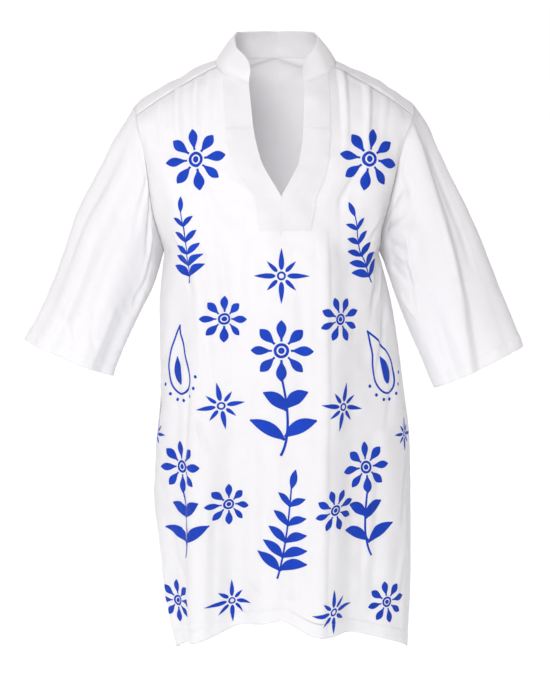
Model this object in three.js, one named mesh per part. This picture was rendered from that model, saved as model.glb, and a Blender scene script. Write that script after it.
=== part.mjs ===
// A short cotton kaftan, worn: an open stand collar over a deep V opening with sewn-on bands, a front
// gathered into forward shoulder seams, wide three-quarter sleeves, in-seam side pockets and a turned hem.
// Units are millimetres. +Z is up, the front faces -Y and +X is the wearer's left. The origin is on the
// shoulder line, where the wearer holds the garment up.
import * as THREE from "three";

// Driving dimensions
const CLOTH = 1.5; // wall of the body and sleeve cloth
const COLLAR_CLOTH = 2.2; // the collar is two layers with a stiffener
const BAND_CLOTH = 1.3; // wall of the bands sewn on round the V opening
const POCKET_CLOTH = 1.4; // the flat pocket bag, two thin layers
const SEAM_GAP = 0.3; // air between neighbouring pieces
const BAND_COLUMNS = 3; // columns of the front grid under a band
const NECK_COLUMNS = 2; // columns between a band and the shoulder seam, along the neckline
const HEM_RELIEF = 0.7; // how far a turned hem stands proud of the cloth above it
const SEAM_COLUMNS = 13; // columns along a shoulder seam
const SIDES = { right: -1, left: 1 }; // the wearer's sides
const CORNER = "underarm"; // the section where side seam and armhole meet, a corner of every column
const SHARP_SEAM = 0.75; // cosine at a seam below which each piece keeps its own normal
const ARC_HANDLE = 0.5523; // handle of a cubic that follows a quarter circle, as a share of its radius
const FLAT_TOP = 0.985; // folds die away between this height and the top edge
const HEM_FOLD_Z = -900; // a fold whose lower end is below this runs on to the hem
const FOLD_TAIL = 0.55; // any other fold dies away over the rest of its length after this share
const SLEEVE_TAIL = 0.6; // the same for the folds of the sleeves

// Sections of the front, from the hem up. Each is a curve from the centre line or the V edge (In) to the
// side seam, armhole or shoulder tip (Out). steps is the number of rows up to the next section, square
// makes the curve an elliptic quarter (1) or a straight line (0), rise lifts its middle, and the band
// columns give the width of the V opening's bands there.
const FRONT = table(
  "name      up   steps inZ  inXRight inXLeft inY  outZ outXRight outXLeft outY square rise bandRight bandLeft",
  `hem       0.00 1     -874 2        2       -104 -942 -160      209      4    1.00   0    43        43
   hemTop    0.02 1     -854 2        2       -105 -922 -164      210      4    1.00   0    43        43
   hemStep   0.03 3     -851 2        2       -105 -919 -165      210      4    1.00   0    43        43
   thigh     0.14 3     -765 3        3       -112 -812 -184      214      3    1.00   0    43        43
   hip       0.28 2     -655 4        4       -121 -690 -199      213      2    1.00   0    43        43
   pocketMid 0.36 2     -585 4        4       -126 -605 -195      211      1    1.00   0    43        43
   waist     0.44 3     -510 5        5       -130 -520 -188      201      0    1.00   0    43        43
   ribs      0.58 3     -385 5        5       -135 -390 -189      182      0    1.00   0    40        44
   underarm  0.67 2     -300 5        5       -137 -302 -181      160      0    1.00   0    33        44
   bandEnd   0.71 2     -266 5        5       -137 -270 -189      164      -26  0.95   0    33        46
   vee       0.76 3     -214 5        5       -134 -228 -199      174      -46  0.85   0    42        54
   chest     0.82 2     -156 -27      33      -122 -174 -205      186      -57  0.70   0    46        45
   bandSeam  0.88 2     -108 -38      39      -108 -134 -212      196      -58  0.55   2    44        42
   collar    0.94 3     -70  -42      40      -96  -106 -219      206      -52  0.35   5    43        40
   shoulder  1.00 0     -40  -45      41      -84  -88  -223      213      -38  0.10   6    42        38`,
);

// The front's edge at the neckline: where a band begins and ends, and where the shoulder seam begins.
const NECK_EDGE = table(
  "place xRight xLeft y   z",
  `0     -45    41    -84 -40
   1     -86    78    -62 -22
   2     -95    89    -40 -11`,
);
const NECK_LIFT = 0.82; // the front bends up towards the neckline above this height

// Sections of the back, from the hem up and over the shoulders to the same forward shoulder seams.
const BACK = table(
  "name      up    steps inZ   inXRight inXLeft inY   outZ  outXRight outXLeft outY square rise",
  `hem       0.00  1     -908  4        4       112   -942  -160      209      4    1.00   0
   hemTop    0.02  1     -888  4        4       112   -922  -164      210      4    1.00   0
   hemStep   0.03  3     -885  4        4       112   -919  -165      210      4    1.00   0
   thigh     0.14  3     -785  4        4       114   -812  -184      214      3    1.00   0
   hip       0.28  2     -665  4        4       115   -690  -199      213      2    1.00   0
   pocketMid 0.36  2     -590  4        4       114   -605  -195      211      1    1.00   0
   waist     0.44  3     -510  3        3       112   -520  -188      201      0    1.00   0
   ribs      0.58  3     -385  2        2       113   -390  -189      182      0    1.00   0
   underarm  0.67  3     -300  1        1       114   -302  -181      160      0    1.00   0
   lower     0.75  3     -208  0        0       114   -226  -198      176      48   0.90   0
   blade     0.83  3     -116  0        0       108   -162  -207      190      63   0.75   0
   upper     0.90  3     -36   -2       -2      92    -110  -216      203      56   0.45   3
   nape      0.94  2     9     -2       -2      76    -84   -221      209      36   0.25   4
   rear      0.96  2     7     -60      54      62    -74   -224      213      14   0.15   5
   neckRear  0.98  1     3     -96      88      22    -70   -225      215      -6   0.12   6
   neckSide  0.99  1     -3    -99      92      -12   -76   -225      215      -22  0.10   6
   shoulder  1.00  0     -11   -95      89      -40   -88   -223      213      -38  0.10   6`,
);

// Folds of the front and back. Each runs from (across0, z0) to (across1, z1), with across measured along
// the cloth from the centre line. before and after are its widths on the -X and +X side of its crest,
// height is its height (a trough is negative), grow is the share of that height left at its upper end,
// fade is the length over which its upper end dies away, and drop is how far it lowers the hem.
const FRONT_FOLDS = table(
  "name            across0 z0    across1 z1    before after height grow fade drop",
  `rightRidge      -128    -300  -132    -960  38     52    27     0.20 160  4
   rightValley     -70     -400  -72     -960  46     50    -19    0.08 160  -4
   centreSwell     -10     -300  -6      -960  60     56    10     0.50 150  0
   leftRidge       62      -240  58      -960  56     60    25     0.25 110  16
   leftValley      150     -240  150     -960  70     84    -11    0.35 110  0
   leftSwell       186     -480  184     -960  32     36    5      0.50 160  0
   rightFlank      -205    -360  -214    -960  34     30    11     0.30 150  0
   leftFlank       250     -380  252     -960  30     30    -3     0.40 150  0
   chestRight      -152    -110  -158    -440  56     50    9      0.60 70   0
   chestLeft       146     -110  150     -440  56     50    12     0.60 70   0
   bustCreaseRight -150    -190  -96     -330  26     30    -5     0.60 60   0
   bustCreaseLeft  150     -215  122     -330  28     26    -5     0.60 60   0`,
);
const BACK_FOLDS = table(
  "name            across0 z0    across1 z1    before after height grow fade drop",
  `rightRidge      -150    -250  -160    -960  48     44    24     0.15 170  5
   rightValley     -88     -300  -96     -960  44     40    -18    0.20 170  0
   centreRidge     -22     -200  -30     -960  46     50    18     0.15 180  6
   leftValley      44      -330  46      -960  44     42    -16    0.20 170  0
   leftRidge       108     -240  116     -960  46     44    26     0.15 170  8
   leftFlank       180     -330  184     -960  40     44    -14    0.30 170  0
   rightFlank      -216    -330  -222    -960  36     32    -10    0.30 170  0`,
);

// Gathers of the front below its shoulder seams. column is the grid column each one stands on, counted from
// the V edge, height is how far it stands out at the seam, and length is how far down it reaches.
const GATHERS = {
  right: table(
    "column height length",
    `6  3.0 140
     8  5.0 200
     11 4.5 170
     14 2.5 120`,
  ),
  left: table(
    "column height length",
    `6  5.5 180
     10 6.0 215
     13 2.5 100`,
  ),
};

// Sections of the sleeves, from the armhole (along 0) to the hem (1). Inner is the edge below the arm and
// outer the edge over it. depth is half the front-to-back size, and middle its middle in Y.
const SLEEVES = {
  right: table(
    "along innerX innerZ outerX outerZ depth middle",
    `0.00  -181   -302   -224   -70    60    0
     0.12  -188   -326   -243   -98    60    -2
     0.30  -198   -356   -278   -164   58    -6
     0.50  -218   -396   -316   -236   57    -8
     0.75  -241   -444   -352   -340   58    -9
     0.94  -258   -484   -390   -418   60    -10
     0.96  -260   -488   -394   -425   60    -10
     1.00  -263   -499   -402   -440   60    -10`,
  ),
  left: table(
    "along innerX innerZ outerX outerZ depth middle",
    `0.00  160    -302   215    -72    60    0
     0.12  172    -327   237    -108   60    -2
     0.30  186    -369   267    -176   58    -6
     0.50  205    -418   304    -250   57    -8
     0.75  228    -470   346    -350   58    -9
     0.94  243    -506   380    -430   60    -10
     0.96  245    -509   383    -436   60    -10
     1.00  249    -518   388    -450   60    -10`,
  ),
};
const SLEEVE_SETTLE = 0.4; // a sleeve takes its own section over this share of its length
const SLEEVE_STEPS = [2, 3, 3, 4, 3, 1, 1]; // rows between neighbouring sleeve sections

// Folds of the sleeves. around is in degrees, from the underarm (0) over the front (90) and the top (180)
// to the back (270), and along runs from the armhole (0) to the hem (1).
const SLEEVE_FOLDS = {
  right: table(
    "name       around0 along0 around1 along1 before after height fade",
    `frontA     118     0.05   122     1.05   22     26    8      0.25
     frontB     78      0.10   72      1.05   20     20    6      0.30
     frontDip   99      0.20   97      1.05   14     14    -5     0.30
     topFold    158     0.02   152     1.05   20     20    5      0.20
     underFold  40      0.25   34      1.05   20     22    -7     0.30
     backA      226     0.05   222     1.05   22     24    8      0.25
     backB      262     0.10   266     1.05   20     22    -6     0.30
     backC      304     0.15   306     1.05   22     22    7      0.30`,
  ),
  left: table(
    "name       around0 along0 around1 along1 before after height fade",
    `frontRidge 140     0.02   72      1.05   34     12    7      0.15
     frontDip   154     0.02   86      1.05   12     34    -4     0.15
     topFold    176     0.02   150     1.05   22     26    5      0.20
     underFold  60      0.30   58      1.05   22     20    -6     0.30
     bunch      56      0.08   84      0.45   24     24    6      0.10
     backA      224     0.05   228     1.05   22     24    8      0.25
     backB      262     0.10   262     1.05   22     22    -6     0.30
     backC      300     0.15   296     1.05   22     22    7      0.30`,
  ),
};

// The collar, from a front end (around 0) to the nape (1): how far its top edge rises above the neckline
// and how far it leans in, towards the neck.
const COLLAR = table(
  "around rise lean",
  `0.00   27   10
   0.10   36   22
   0.25   41   29
   0.45   42   31
   0.75   42   24
   1.00   41   15`,
);
const COLLAR_LEVELS = [0, 0.3, 0.58, 0.8, 0.93, 1]; // its rows, as shares of its height
const COLLAR_CORNER = 12; // radius of its rounded front corners
const COLLAR_ENDS = 0.4; // share of its length from a front end that its corner may shape
const COLLAR_BELLY = 2.5; // how far its middle stands out
const NECK_AXIS = new THREE.Vector3(-2, 6, 0);

// The in-seam pocket in the right side seam. Its mouth gapes by this much at its middle.
const POCKET_GAPE = 9;
const POCKET_DRAW = 0.55; // how far its front edge is drawn towards the middle, as a share of the gape
const POCKET_EDGE = 3; // columns of the front that the gape moves
const POCKET_TOP = -520;
const POCKET_BOTTOM = -690;
const POCKET_COLUMNS = 5; // columns of the front grid under a pocket bag
const POCKET_INSIDE = 1.6; // air between the front and the pocket bag
const SEAM_RISE = 5; // how far a shoulder seam bows up between its ends
const SIDE_CALM = 34; // folds die away over this distance from a side seam
const ARMHOLE_CALM = 14; // and over this distance from an armhole

// A table from a line of column names and a line of values for each row. Numbers are read as numbers.
function table(head, body) {
  const columns = head.trim().split(/\s+/);
  return body
    .trim()
    .split("\n")
    .map((line) => {
      const cells = line.trim().split(/\s+/);
      return Object.fromEntries(
        columns.map((c, i) => [c, c === "name" ? cells[i] : Number(cells[i])]),
      );
    });
}

function smooth(low, high, x) {
  return THREE.MathUtils.smoothstep(x, low, high);
}

// The slope of a column where the spans before and after it climb at rates a and b, as seen from the span
// that climbs at rate own. No column overshoots, and one that holds still on one side has a corner there.
function slopeBetween(a, b, own) {
  if (a === 0 || b === 0) return own;
  return a * b < 0 ? 0 : (2 * a * b) / (a + b);
}

// Every number column of a table at position x of its key column, by a cubic through its rows.
function lookup(rows, key, x) {
  const last = rows.length - 1;
  let i = 0;
  while (i < last - 1 && x > rows[i + 1][key]) i++;
  const [a, b] = [rows[i], rows[i + 1]];
  const rate = (c, j) => (rows[j + 1][c] - rows[j][c]) / (rows[j + 1][key] - rows[j][key]);
  const span = b[key] - a[key];
  const s = (x - a[key]) / span;
  const [s2, s3] = [s * s, s * s * s];
  const found = {};
  for (const c in a) {
    if (c === "name") continue;
    const own = rate(c, i);
    const slopeA = i > 0 && a.name !== CORNER ? slopeBetween(rate(c, i - 1), own, own) : own;
    const slopeB = i < last - 1 && b.name !== CORNER ? slopeBetween(own, rate(c, i + 1), own) : own;
    found[c] =
      (2 * s3 - 3 * s2 + 1) * a[c] +
      (s3 - 2 * s2 + s) * slopeA * span +
      (3 * s2 - 2 * s3) * b[c] +
      (s3 - s2) * slopeB * span;
  }
  return found;
}

// The positions of the rows that a section table asks for, from its first section to its last.
function rowsOf(sections) {
  const ups = [];
  for (let i = 0; i < sections.length - 1; i++) {
    for (let k = 0; k < sections[i].steps; k++) {
      ups.push(sections[i].up + ((sections[i + 1].up - sections[i].up) * k) / sections[i].steps);
    }
  }
  return [...ups, sections.at(-1).up];
}

function section(sections, name) {
  return sections.find((s) => s.name === name);
}

// The curve of a body section on one side, from its inner end to its outer end.
function sectionCurve(sections, up, side) {
  const s = lookup(sections, "up", up);
  const sideName = side < 0 ? "Right" : "Left";
  const inner = new THREE.Vector3(s["inX" + sideName], s.inY, s.inZ);
  const outer = new THREE.Vector3(s["outX" + sideName], s.outY, s.outZ);
  const span = outer.clone().sub(inner);
  const main = 1 / 3 + (ARC_HANDLE - 1 / 3) * s.square; // share of the span taken along the tangent
  const cross = (1 - s.square) / 3; // share taken across it
  const third = span.z / 3;
  const first = inner.clone().add(new THREE.Vector3(main * span.x, cross * span.y, third + s.rise));
  const second = outer.clone().sub(new THREE.Vector3(cross * span.x, main * span.y, third - s.rise));
  return new THREE.CubicBezierCurve3(inner, first, second, outer);
}

// Height and drop of all folds at a point of the body's cloth.
function bodyFolds(folds, across, z) {
  const sum = { height: 0, drop: 0 };
  for (const f of folds) {
    if (z > f.z0) continue;
    const run = THREE.MathUtils.clamp((f.z0 - z) / (f.z0 - f.z1), 0, 1);
    const off = across - (f.across0 + (f.across1 - f.across0) * run);
    const share = Math.abs(off) / (off < 0 ? f.before : f.after);
    if (share >= 1) continue;
    const tail = f.z1 < HEM_FOLD_Z ? 1 : 1 - smooth(FOLD_TAIL, 1, run);
    const growth = f.grow + (1 - f.grow) * Math.min(run, 1);
    const bump = (1 - share * share) ** 2;
    sum.height += f.height * growth * smooth(0, f.fade, f.z0 - z) * tail * bump;
    sum.drop += f.drop * run ** 2 * bump;
  }
  return sum;
}

// Height of the gathers of one side of the front, at a column and a distance below the shoulder seam.
function gatherHeight(gathers, column, below) {
  let sum = 0;
  for (const g of gathers) {
    const share = Math.abs(column - g.column);
    if (share < 1) sum += g.height * (1 - share * share) ** 2 * (1 - smooth(0, g.length, below));
  }
  return sum;
}

// Where the front's top edge lies at a column: on the neckline, then along the shoulder seam.
function topEdge(column, sideName, tip) {
  const place =
    column < BAND_COLUMNS ? column / BAND_COLUMNS : 1 + (column - BAND_COLUMNS) / NECK_COLUMNS;
  const at = (q) => {
    const e = lookup(NECK_EDGE, "place", q);
    return new THREE.Vector3(sideName === "right" ? e.xRight : e.xLeft, e.y, e.z);
  };
  if (place <= 2) return at(place);
  return seamCurve(at(2), tip).getPointAt((column - BAND_COLUMNS - NECK_COLUMNS) / SEAM_COLUMNS);
}

// A shoulder seam, from the neckline to the shoulder tip.
function seamCurve(neck, tip) {
  const span = tip.clone().sub(neck);
  const lift = new THREE.Vector3(0, 0, SEAM_RISE);
  const first = neck.clone().addScaledVector(span, 1 / 3).add(lift);
  const second = neck.clone().addScaledVector(span, 2 / 3).add(lift);
  return new THREE.CubicBezierCurve3(neck, first, second, tip);
}

// The points of a body section on one side, evenly spaced but for the columns under a band.
function sectionPoints(sections, up, sideName, columns) {
  const curve = sectionCurve(sections, up, SIDES[sideName]);
  const length = curve.getLength();
  const band = lookup(sections, "up", up)[sideName === "right" ? "bandRight" : "bandLeft"];
  const banding = band ? smooth(section(FRONT, "ribs").up, section(FRONT, "bandEnd").up, up) : 0;
  return Array.from({ length: columns + 1 }, (_, c) => {
    let across = (length * c) / columns;
    if (banding > 0) {
      const past = (c - BAND_COLUMNS) / (columns - BAND_COLUMNS);
      const banded = past < 0 ? (band * c) / BAND_COLUMNS : band + (length - band) * past;
      across += (banded - across) * banding;
    }
    const base = curve.getPointAt(Math.min(across / length, 1));
    return { base, across: across * SIDES[sideName], left: length - across };
  });
}

// Half of the front or back without its folds: rows of points from the centre line, V edge or neckline to
// the outer edge.
function halfPanel({ sections, isFront }, sideName) {
  const columns = isFront ? BAND_COLUMNS + NECK_COLUMNS + SEAM_COLUMNS : SEAM_COLUMNS;
  const top = sectionPoints(sections, 1, sideName, columns).map((p) => p.base);
  const bend = top.map((p, c) => {
    const column = isFront ? c : c + BAND_COLUMNS + NECK_COLUMNS;
    return topEdge(column, sideName, top.at(-1)).sub(p);
  });
  return rowsOf(sections).map((up) => {
    const lift = isFront ? Math.max((up - NECK_LIFT) / (1 - NECK_LIFT), 0) ** 2 : Number(up === 1);
    const points = sectionPoints(sections, up, sideName, columns);
    points.forEach(({ base }, c) => base.addScaledVector(bend[c], lift));
    return { up, points };
  });
}

// Both halves of the front or back, with their folds.
function foldedPanel({ sections, folds, isFront }) {
  const plain = new Surface();
  const halves = {};
  for (const [name, side] of Object.entries(SIDES)) {
    halves[name] = halfPanel({ sections, isFront }, name);
    plain.addGrid(halves[name].map((row) => row.points.map((p) => p.base)), side < 0 === isFront);
  }
  const normals = new Map();
  gatherNormals(plain, normals);
  const underarm = section(sections, "underarm").up;
  for (const name of Object.keys(SIDES)) {
    const edge = halves[name].at(-1).points.map((p) => p.base.z);
    halves[name] = halves[name].map(({ up, points }) =>
      points.map(({ base, across, left }, c) => {
        if (up === 1) return base;
        const calm = smooth(0, up > underarm ? ARMHOLE_CALM : SIDE_CALM, left);
        const { height, drop } = bodyFolds(folds, across, base.z);
        const gathered = isFront ? gatherHeight(GATHERS[name], c, edge[c] - base.z) : 0;
        const out = normals.get(keyOf(base)).clone().normalize();
        out.multiplyScalar(calm * (height * (1 - smooth(FLAT_TOP, 1, up)) + gathered));
        return base.clone().add(out).add(new THREE.Vector3(0, 0, -calm * drop));
      }),
    );
  }
  return halves;
}

// Unit normals of a grid of points. turn is 1 or -1, for which side of the grid they leave.
function gridNormals(grid, turn) {
  return grid.map((row, r) =>
    row.map((_, c) => {
      const down = grid[Math.max(r - 1, 0)][c];
      const up = grid[Math.min(r + 1, grid.length - 1)][c];
      const before = row[Math.max(c - 1, 0)];
      const after = row[Math.min(c + 1, row.length - 1)];
      const across = after.clone().sub(before);
      return across.cross(up.clone().sub(down)).multiplyScalar(turn).normalize();
    }),
  );
}

// Opens the pocket's mouth: the front's edge leaves the side seam, most at the middle of the mouth.
function openPocket(half, side) {
  for (const row of half) {
    const z = row.at(-1).z;
    if (z > POCKET_TOP || z < POCKET_BOTTOM) continue;
    const share = Math.sin((Math.PI * (z - POCKET_BOTTOM)) / (POCKET_TOP - POCKET_BOTTOM));
    row.slice(-POCKET_EDGE).forEach((p, i) => {
      const gape = POCKET_GAPE * share * ((i + 1) / POCKET_EDGE);
      p.y -= gape;
      p.x -= side * POCKET_DRAW * gape;
    });
  }
}

// ---- surfaces: points with the faces that join them, facing out

const KEY_STEP = 1e3;
function keyOf(p) {
  return [p.x, p.y, p.z].map((v) => Math.round(v * KEY_STEP)).join(",");
}

class Surface {
  constructor() {
    this.points = [];
    this.relief = []; // how far each point stands out beyond the cloth's own surface
    this.faces = [];
    this.index = new Map();
  }
  add(p, relief = 0) {
    const key = keyOf(p);
    if (!this.index.has(key)) {
      this.index.set(key, this.points.length);
      this.points.push(p.clone());
      this.relief.push(relief);
    }
    return this.index.get(key);
  }
  // Joins a grid of points by faces. flip turns them to face the other way.
  addGrid(grid, flip, reliefOf = () => 0) {
    const ids = grid.map((row, r) => row.map((p, c) => this.add(p, reliefOf(r, c))));
    for (let r = 0; r < ids.length - 1; r++) {
      for (let c = 0; c < ids[r].length - 1; c++) {
        const face = [ids[r][c], ids[r][c + 1], ids[r + 1][c + 1], ids[r + 1][c]];
        const whole = [...new Set(face)];
        if (whole.length > 2) this.faces.push(flip ? whole.reverse() : whole);
      }
    }
    return this;
  }
  // The triangles of its faces.
  triangles() {
    return this.faces.flatMap(([a, b, c, d]) =>
      d === undefined ? [[a, b, c]] : [[a, b, c], [a, c, d]],
    );
  }
}

// Adds each face's normal to its corners in a map from place to normal, so that seams share theirs.
function gatherNormals(surface, normals) {
  for (const [a, b, c] of surface.triangles()) {
    const [pa, pb, pc] = [a, b, c].map((i) => surface.points[i]);
    const n = pb.clone().sub(pa).cross(pc.clone().sub(pa));
    for (const p of [pa, pb, pc]) {
      const key = keyOf(p);
      if (!normals.has(key)) normals.set(key, new THREE.Vector3());
      normals.get(key).add(n);
    }
  }
}

// Directed edges that only one face has.
function rimOf(triangles) {
  const edges = new Set();
  for (const t of triangles) t.forEach((a, i) => edges.add(a + ">" + t[(i + 1) % 3]));
  return [...edges]
    .map((e) => e.split(">").map(Number))
    .filter(([a, b]) => !edges.has(b + ">" + a));
}

// For each point on a seam, the way back into its own piece, half a seam gap long.
function seamInsets(surface, triangles, seams) {
  const insets = surface.points.map(() => new THREE.Vector3());
  const rim = rimOf(triangles);
  const along = surface.points.map(() => new THREE.Vector3());
  for (const [a, b] of rim) {
    const edge = surface.points[b].clone().sub(surface.points[a]).normalize();
    along[a].add(edge);
    along[b].add(edge);
  }
  for (const t of triangles) {
    const middle = t.reduce((m, i) => m.add(surface.points[i]), new THREE.Vector3()).divideScalar(3);
    for (const i of t) insets[i].add(middle.clone().sub(surface.points[i]).normalize());
  }
  return insets.map((v, i) => {
    if (!seams.has(keyOf(surface.points[i])) || along[i].lengthSq() === 0) return new THREE.Vector3();
    const tangent = along[i].normalize();
    return v.addScaledVector(tangent, -v.dot(tangent)).normalize().multiplyScalar(SEAM_GAP / 2);
  });
}

// The closed wall of a surface. Its outer face lies out from the surface, and its inner face lies thick
// further in.
function wall(surface, normals, thick, { out = 0, seams = new Set() } = {}) {
  const triangles = surface.triangles();
  const own = new Map();
  gatherNormals(surface, own);
  const insets = seamInsets(surface, triangles, seams);
  const outer = [];
  const inner = [];
  surface.points.forEach((p, i) => {
    const ownNormal = own.get(keyOf(p)).normalize();
    const shared = normals.get(keyOf(p)).clone().normalize();
    const n = shared.dot(ownNormal) < SHARP_SEAM ? ownNormal : shared;
    const mitre = 1 / n.dot(ownNormal);
    const at = p.clone().add(insets[i]);
    outer.push(at.clone().addScaledVector(n, (out + surface.relief[i]) * mitre));
    inner.push(at.clone().addScaledVector(n, (out - thick) * mitre));
  });
  const count = outer.length;
  const index = triangles.flatMap(([a, b, c]) => [a, b, c, a + count, c + count, b + count]);
  for (const [a, b] of rimOf(triangles)) index.push(b, a, a + count, b, a + count, b + count);
  const geometry = new THREE.BufferGeometry().setFromPoints([...outer, ...inner]);
  geometry.setIndex(index);
  geometry.computeVertexNormals();
  return geometry;
}

// ---- the pieces

const frontHalf = foldedPanel({ sections: FRONT, folds: FRONT_FOLDS, isFront: true });
const backHalf = foldedPanel({ sections: BACK, folds: BACK_FOLDS, isFront: false });
openPocket(frontHalf.right, SIDES.right);

// The row number of a named section in a panel's grid.
function rowOf(sections, name) {
  return rowsOf(sections).indexOf(section(sections, name).up);
}

const hemRelief = (sections) => (r) => (r <= rowOf(sections, "hemTop") ? HEM_RELIEF : 0);

function panelSurface(halves, sections, isFront) {
  const made = new Surface();
  for (const [name, side] of Object.entries(SIDES)) {
    made.addGrid(halves[name], side < 0 === isFront, hemRelief(sections));
  }
  return made;
}

// The closed loop of an armhole, from the underarm up the front, over the shoulder and down the back.
function armhole(name) {
  const up = frontHalf[name].slice(rowOf(FRONT, "underarm")).map((row) => row.at(-1));
  const down = backHalf[name].slice(rowOf(BACK, "underarm")).map((row) => row.at(-1));
  return [...up, ...down.reverse().slice(1)];
}

// Share of the way along a line of points, at each of them.
function shares(line) {
  let sum = 0;
  const sums = line.map((p, i) => (sum += i ? p.distanceTo(line[i - 1]) : 0));
  return sums.map((s) => s / sum);
}

function sleeveFolds(folds, around, along) {
  let sum = 0;
  for (const f of folds) {
    if (along < f.along0 || along > f.along1) continue;
    const run = (along - f.along0) / (f.along1 - f.along0);
    const off = around - (f.around0 + (f.around1 - f.around0) * run);
    const share = Math.abs(off) / (off < 0 ? f.before : f.after);
    if (share >= 1) continue;
    const tail = f.along1 > 1 ? 1 : 1 - smooth(SLEEVE_TAIL, 1, run);
    sum += f.height * smooth(0, f.fade, along - f.along0) * tail * (1 - share * share) ** 2;
  }
  return sum;
}

function sleeveSurface(name) {
  const sections = SLEEVES[name];
  const loop = armhole(name);
  const around = shares(loop);
  const alongs = sections
    .slice(0, -1)
    .flatMap(({ along }, i) =>
      Array.from(
        { length: SLEEVE_STEPS[i] },
        (_, k) => along + ((sections[i + 1].along - along) * k) / SLEEVE_STEPS[i],
      ),
    );
  alongs.push(1);
  const base = alongs.map((along) => {
    const s = lookup(sections, "along", along);
    const inner = new THREE.Vector3(s.innerX, s.middle, s.innerZ);
    const outer = new THREE.Vector3(s.outerX, s.middle, s.outerZ);
    const centre = inner.clone().lerp(outer, 0.5);
    const half = outer.clone().sub(inner).multiplyScalar(0.5);
    const settle = 1 - Math.max(1 - along / SLEEVE_SETTLE, 0) ** 2;
    return loop.map((start, i) => {
      const angle = 2 * Math.PI * around[i];
      const ring = centre.clone().addScaledVector(half, -Math.cos(angle));
      ring.y -= s.depth * Math.sin(angle);
      return start.clone().lerp(ring, settle);
    });
  });
  const turn = name === "right" ? 1 : -1;
  const normals = gridNormals(base, turn);
  const grid = base.map((row, r) =>
    row.map((p, c) => {
      const height = sleeveFolds(SLEEVE_FOLDS[name], around[c] * 360, alongs[r]);
      const seam = c === 0 || c === row.length - 1;
      return p.clone().addScaledVector(normals[r][c], seam ? 0 : height);
    }),
  );
  for (const row of grid) row[row.length - 1] = row[0].clone();
  const hemRow = alongs.length - 2;
  return new Surface().addGrid(grid, turn < 0, (r) => (r >= hemRow ? HEM_RELIEF : 0));
}

// Each half of the neckline, from a front end of the collar to the nape.
function neckline() {
  const half = (name) => [
    ...frontHalf[name].at(-1).slice(0, BAND_COLUMNS + NECK_COLUMNS),
    ...backHalf[name]
      .slice(rowOf(BACK, "nape"))
      .map((row) => row[0])
      .reverse(),
  ];
  return { right: half("right"), left: half("left") };
}

function collarSurface() {
  const line = neckline();
  const columns = [];
  for (const name of ["right", "left"]) {
    const share = shares(line[name]);
    const lengthOf = line[name].reduce((sum, p, i, all) => sum + (i ? p.distanceTo(all[i - 1]) : 0), 0);
    const side = new THREE.CatmullRomCurve3(line[name], false, "centripetal");
    const made = line[name].map((foot, i) => {
      return COLLAR_LEVELS.map((level) => {
        const height = lookup(COLLAR, "around", share[i]).rise;
        const above = Math.max(height * level - (height - COLLAR_CORNER), 0);
        const inset = COLLAR_CORNER - Math.sqrt(Math.max(COLLAR_CORNER ** 2 - above ** 2, 0));
        const pushed = share[i] + (inset / lengthOf) * Math.max(1 - share[i] / COLLAR_ENDS, 0);
        const at = inset > 0 && share[i] < COLLAR_ENDS ? onLine(line[name], share, pushed) : foot.clone();
        const { rise, lean } = lookup(COLLAR, "around", pushed);
        const towards = NECK_AXIS.clone().sub(at).setZ(0).normalize();
        const belly = COLLAR_BELLY * Math.sin(Math.PI * level);
        return at
          .addScaledVector(towards, lean * level - belly)
          .add(new THREE.Vector3(0, 0, rise * level));
      });
    });
    columns.push(name === "right" ? made : made.reverse().slice(1));
  }
  return new Surface().addGrid(columns.flat(), false);
}

// The point at a share of the way along a line whose points have the given shares.
function onLine(line, share, at) {
  let i = 0;
  while (i < line.length - 2 && at > share[i + 1]) i++;
  return line[i].clone().lerp(line[i + 1], (at - share[i]) / (share[i + 1] - share[i]));
}

// A band on the front, made from the front's own points under it.
function bandSurface(names, lowest, highest) {
  const made = new Surface();
  for (const name of names) {
    const rows = frontHalf[name].slice(rowOf(FRONT, lowest), rowOf(FRONT, highest) + 1);
    const grid = rows.map((row) => row.slice(0, BAND_COLUMNS + 1));
    made.addGrid(grid, SIDES[name] < 0);
  }
  return made;
}

// A pocket bag, flat against the inside of the front beside its mouth.
function pocketSurface(name) {
  const rows = frontHalf[name].slice(rowOf(FRONT, "hip") - 1, rowOf(FRONT, "waist") + 2);
  const grid = rows.map((row) => row.slice(-POCKET_COLUMNS - 1, -1));
  return new Surface().addGrid(grid, SIDES[name] < 0);
}

const surfaces = {
  front: panelSurface(frontHalf, FRONT, true),
  back: panelSurface(backHalf, BACK, false),
  sleeve_right: sleeveSurface("right"),
  sleeve_left: sleeveSurface("left"),
  collar: collarSurface(),
};

// Places that two pieces share are seams, and they share their normals too.
const normals = new Map();
const uses = new Map();
for (const surface of Object.values(surfaces)) {
  gatherNormals(surface, normals);
  for (const p of surface.points) uses.set(keyOf(p), (uses.get(keyOf(p)) ?? 0) + 1);
}
const seams = new Set([...uses].filter(([, n]) => n > 1).map(([key]) => key));

// The front's own normals, for what lies on it or behind it.
const frontNormals = new Map();
gatherNormals(surfaces.front, frontNormals);

const bands = {
  band_right: bandSurface(["right"], "bandSeam", "shoulder"),
  band_left: bandSurface(["left"], "bandSeam", "shoulder"),
  band_front: bandSurface(["right", "left"], "bandEnd", "bandSeam"),
};
const bandSeams = new Set([
  ...frontHalf.right[rowOf(FRONT, "bandSeam")].map(keyOf),
  ...frontHalf.left[rowOf(FRONT, "bandSeam")].map(keyOf),
  ...frontHalf.right.at(-1).map(keyOf),
  ...frontHalf.left.at(-1).map(keyOf),
]);

const WHITE = 0xf4f3f6;
const kaftan = new THREE.Group();

function addPiece(name, geometry, color = WHITE) {
  const material = new THREE.MeshStandardMaterial({ color, roughness: 0.9, metalness: 0 });
  const mesh = new THREE.Mesh(geometry, material);
  mesh.name = name;
  kaftan.add(mesh);
}

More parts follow.
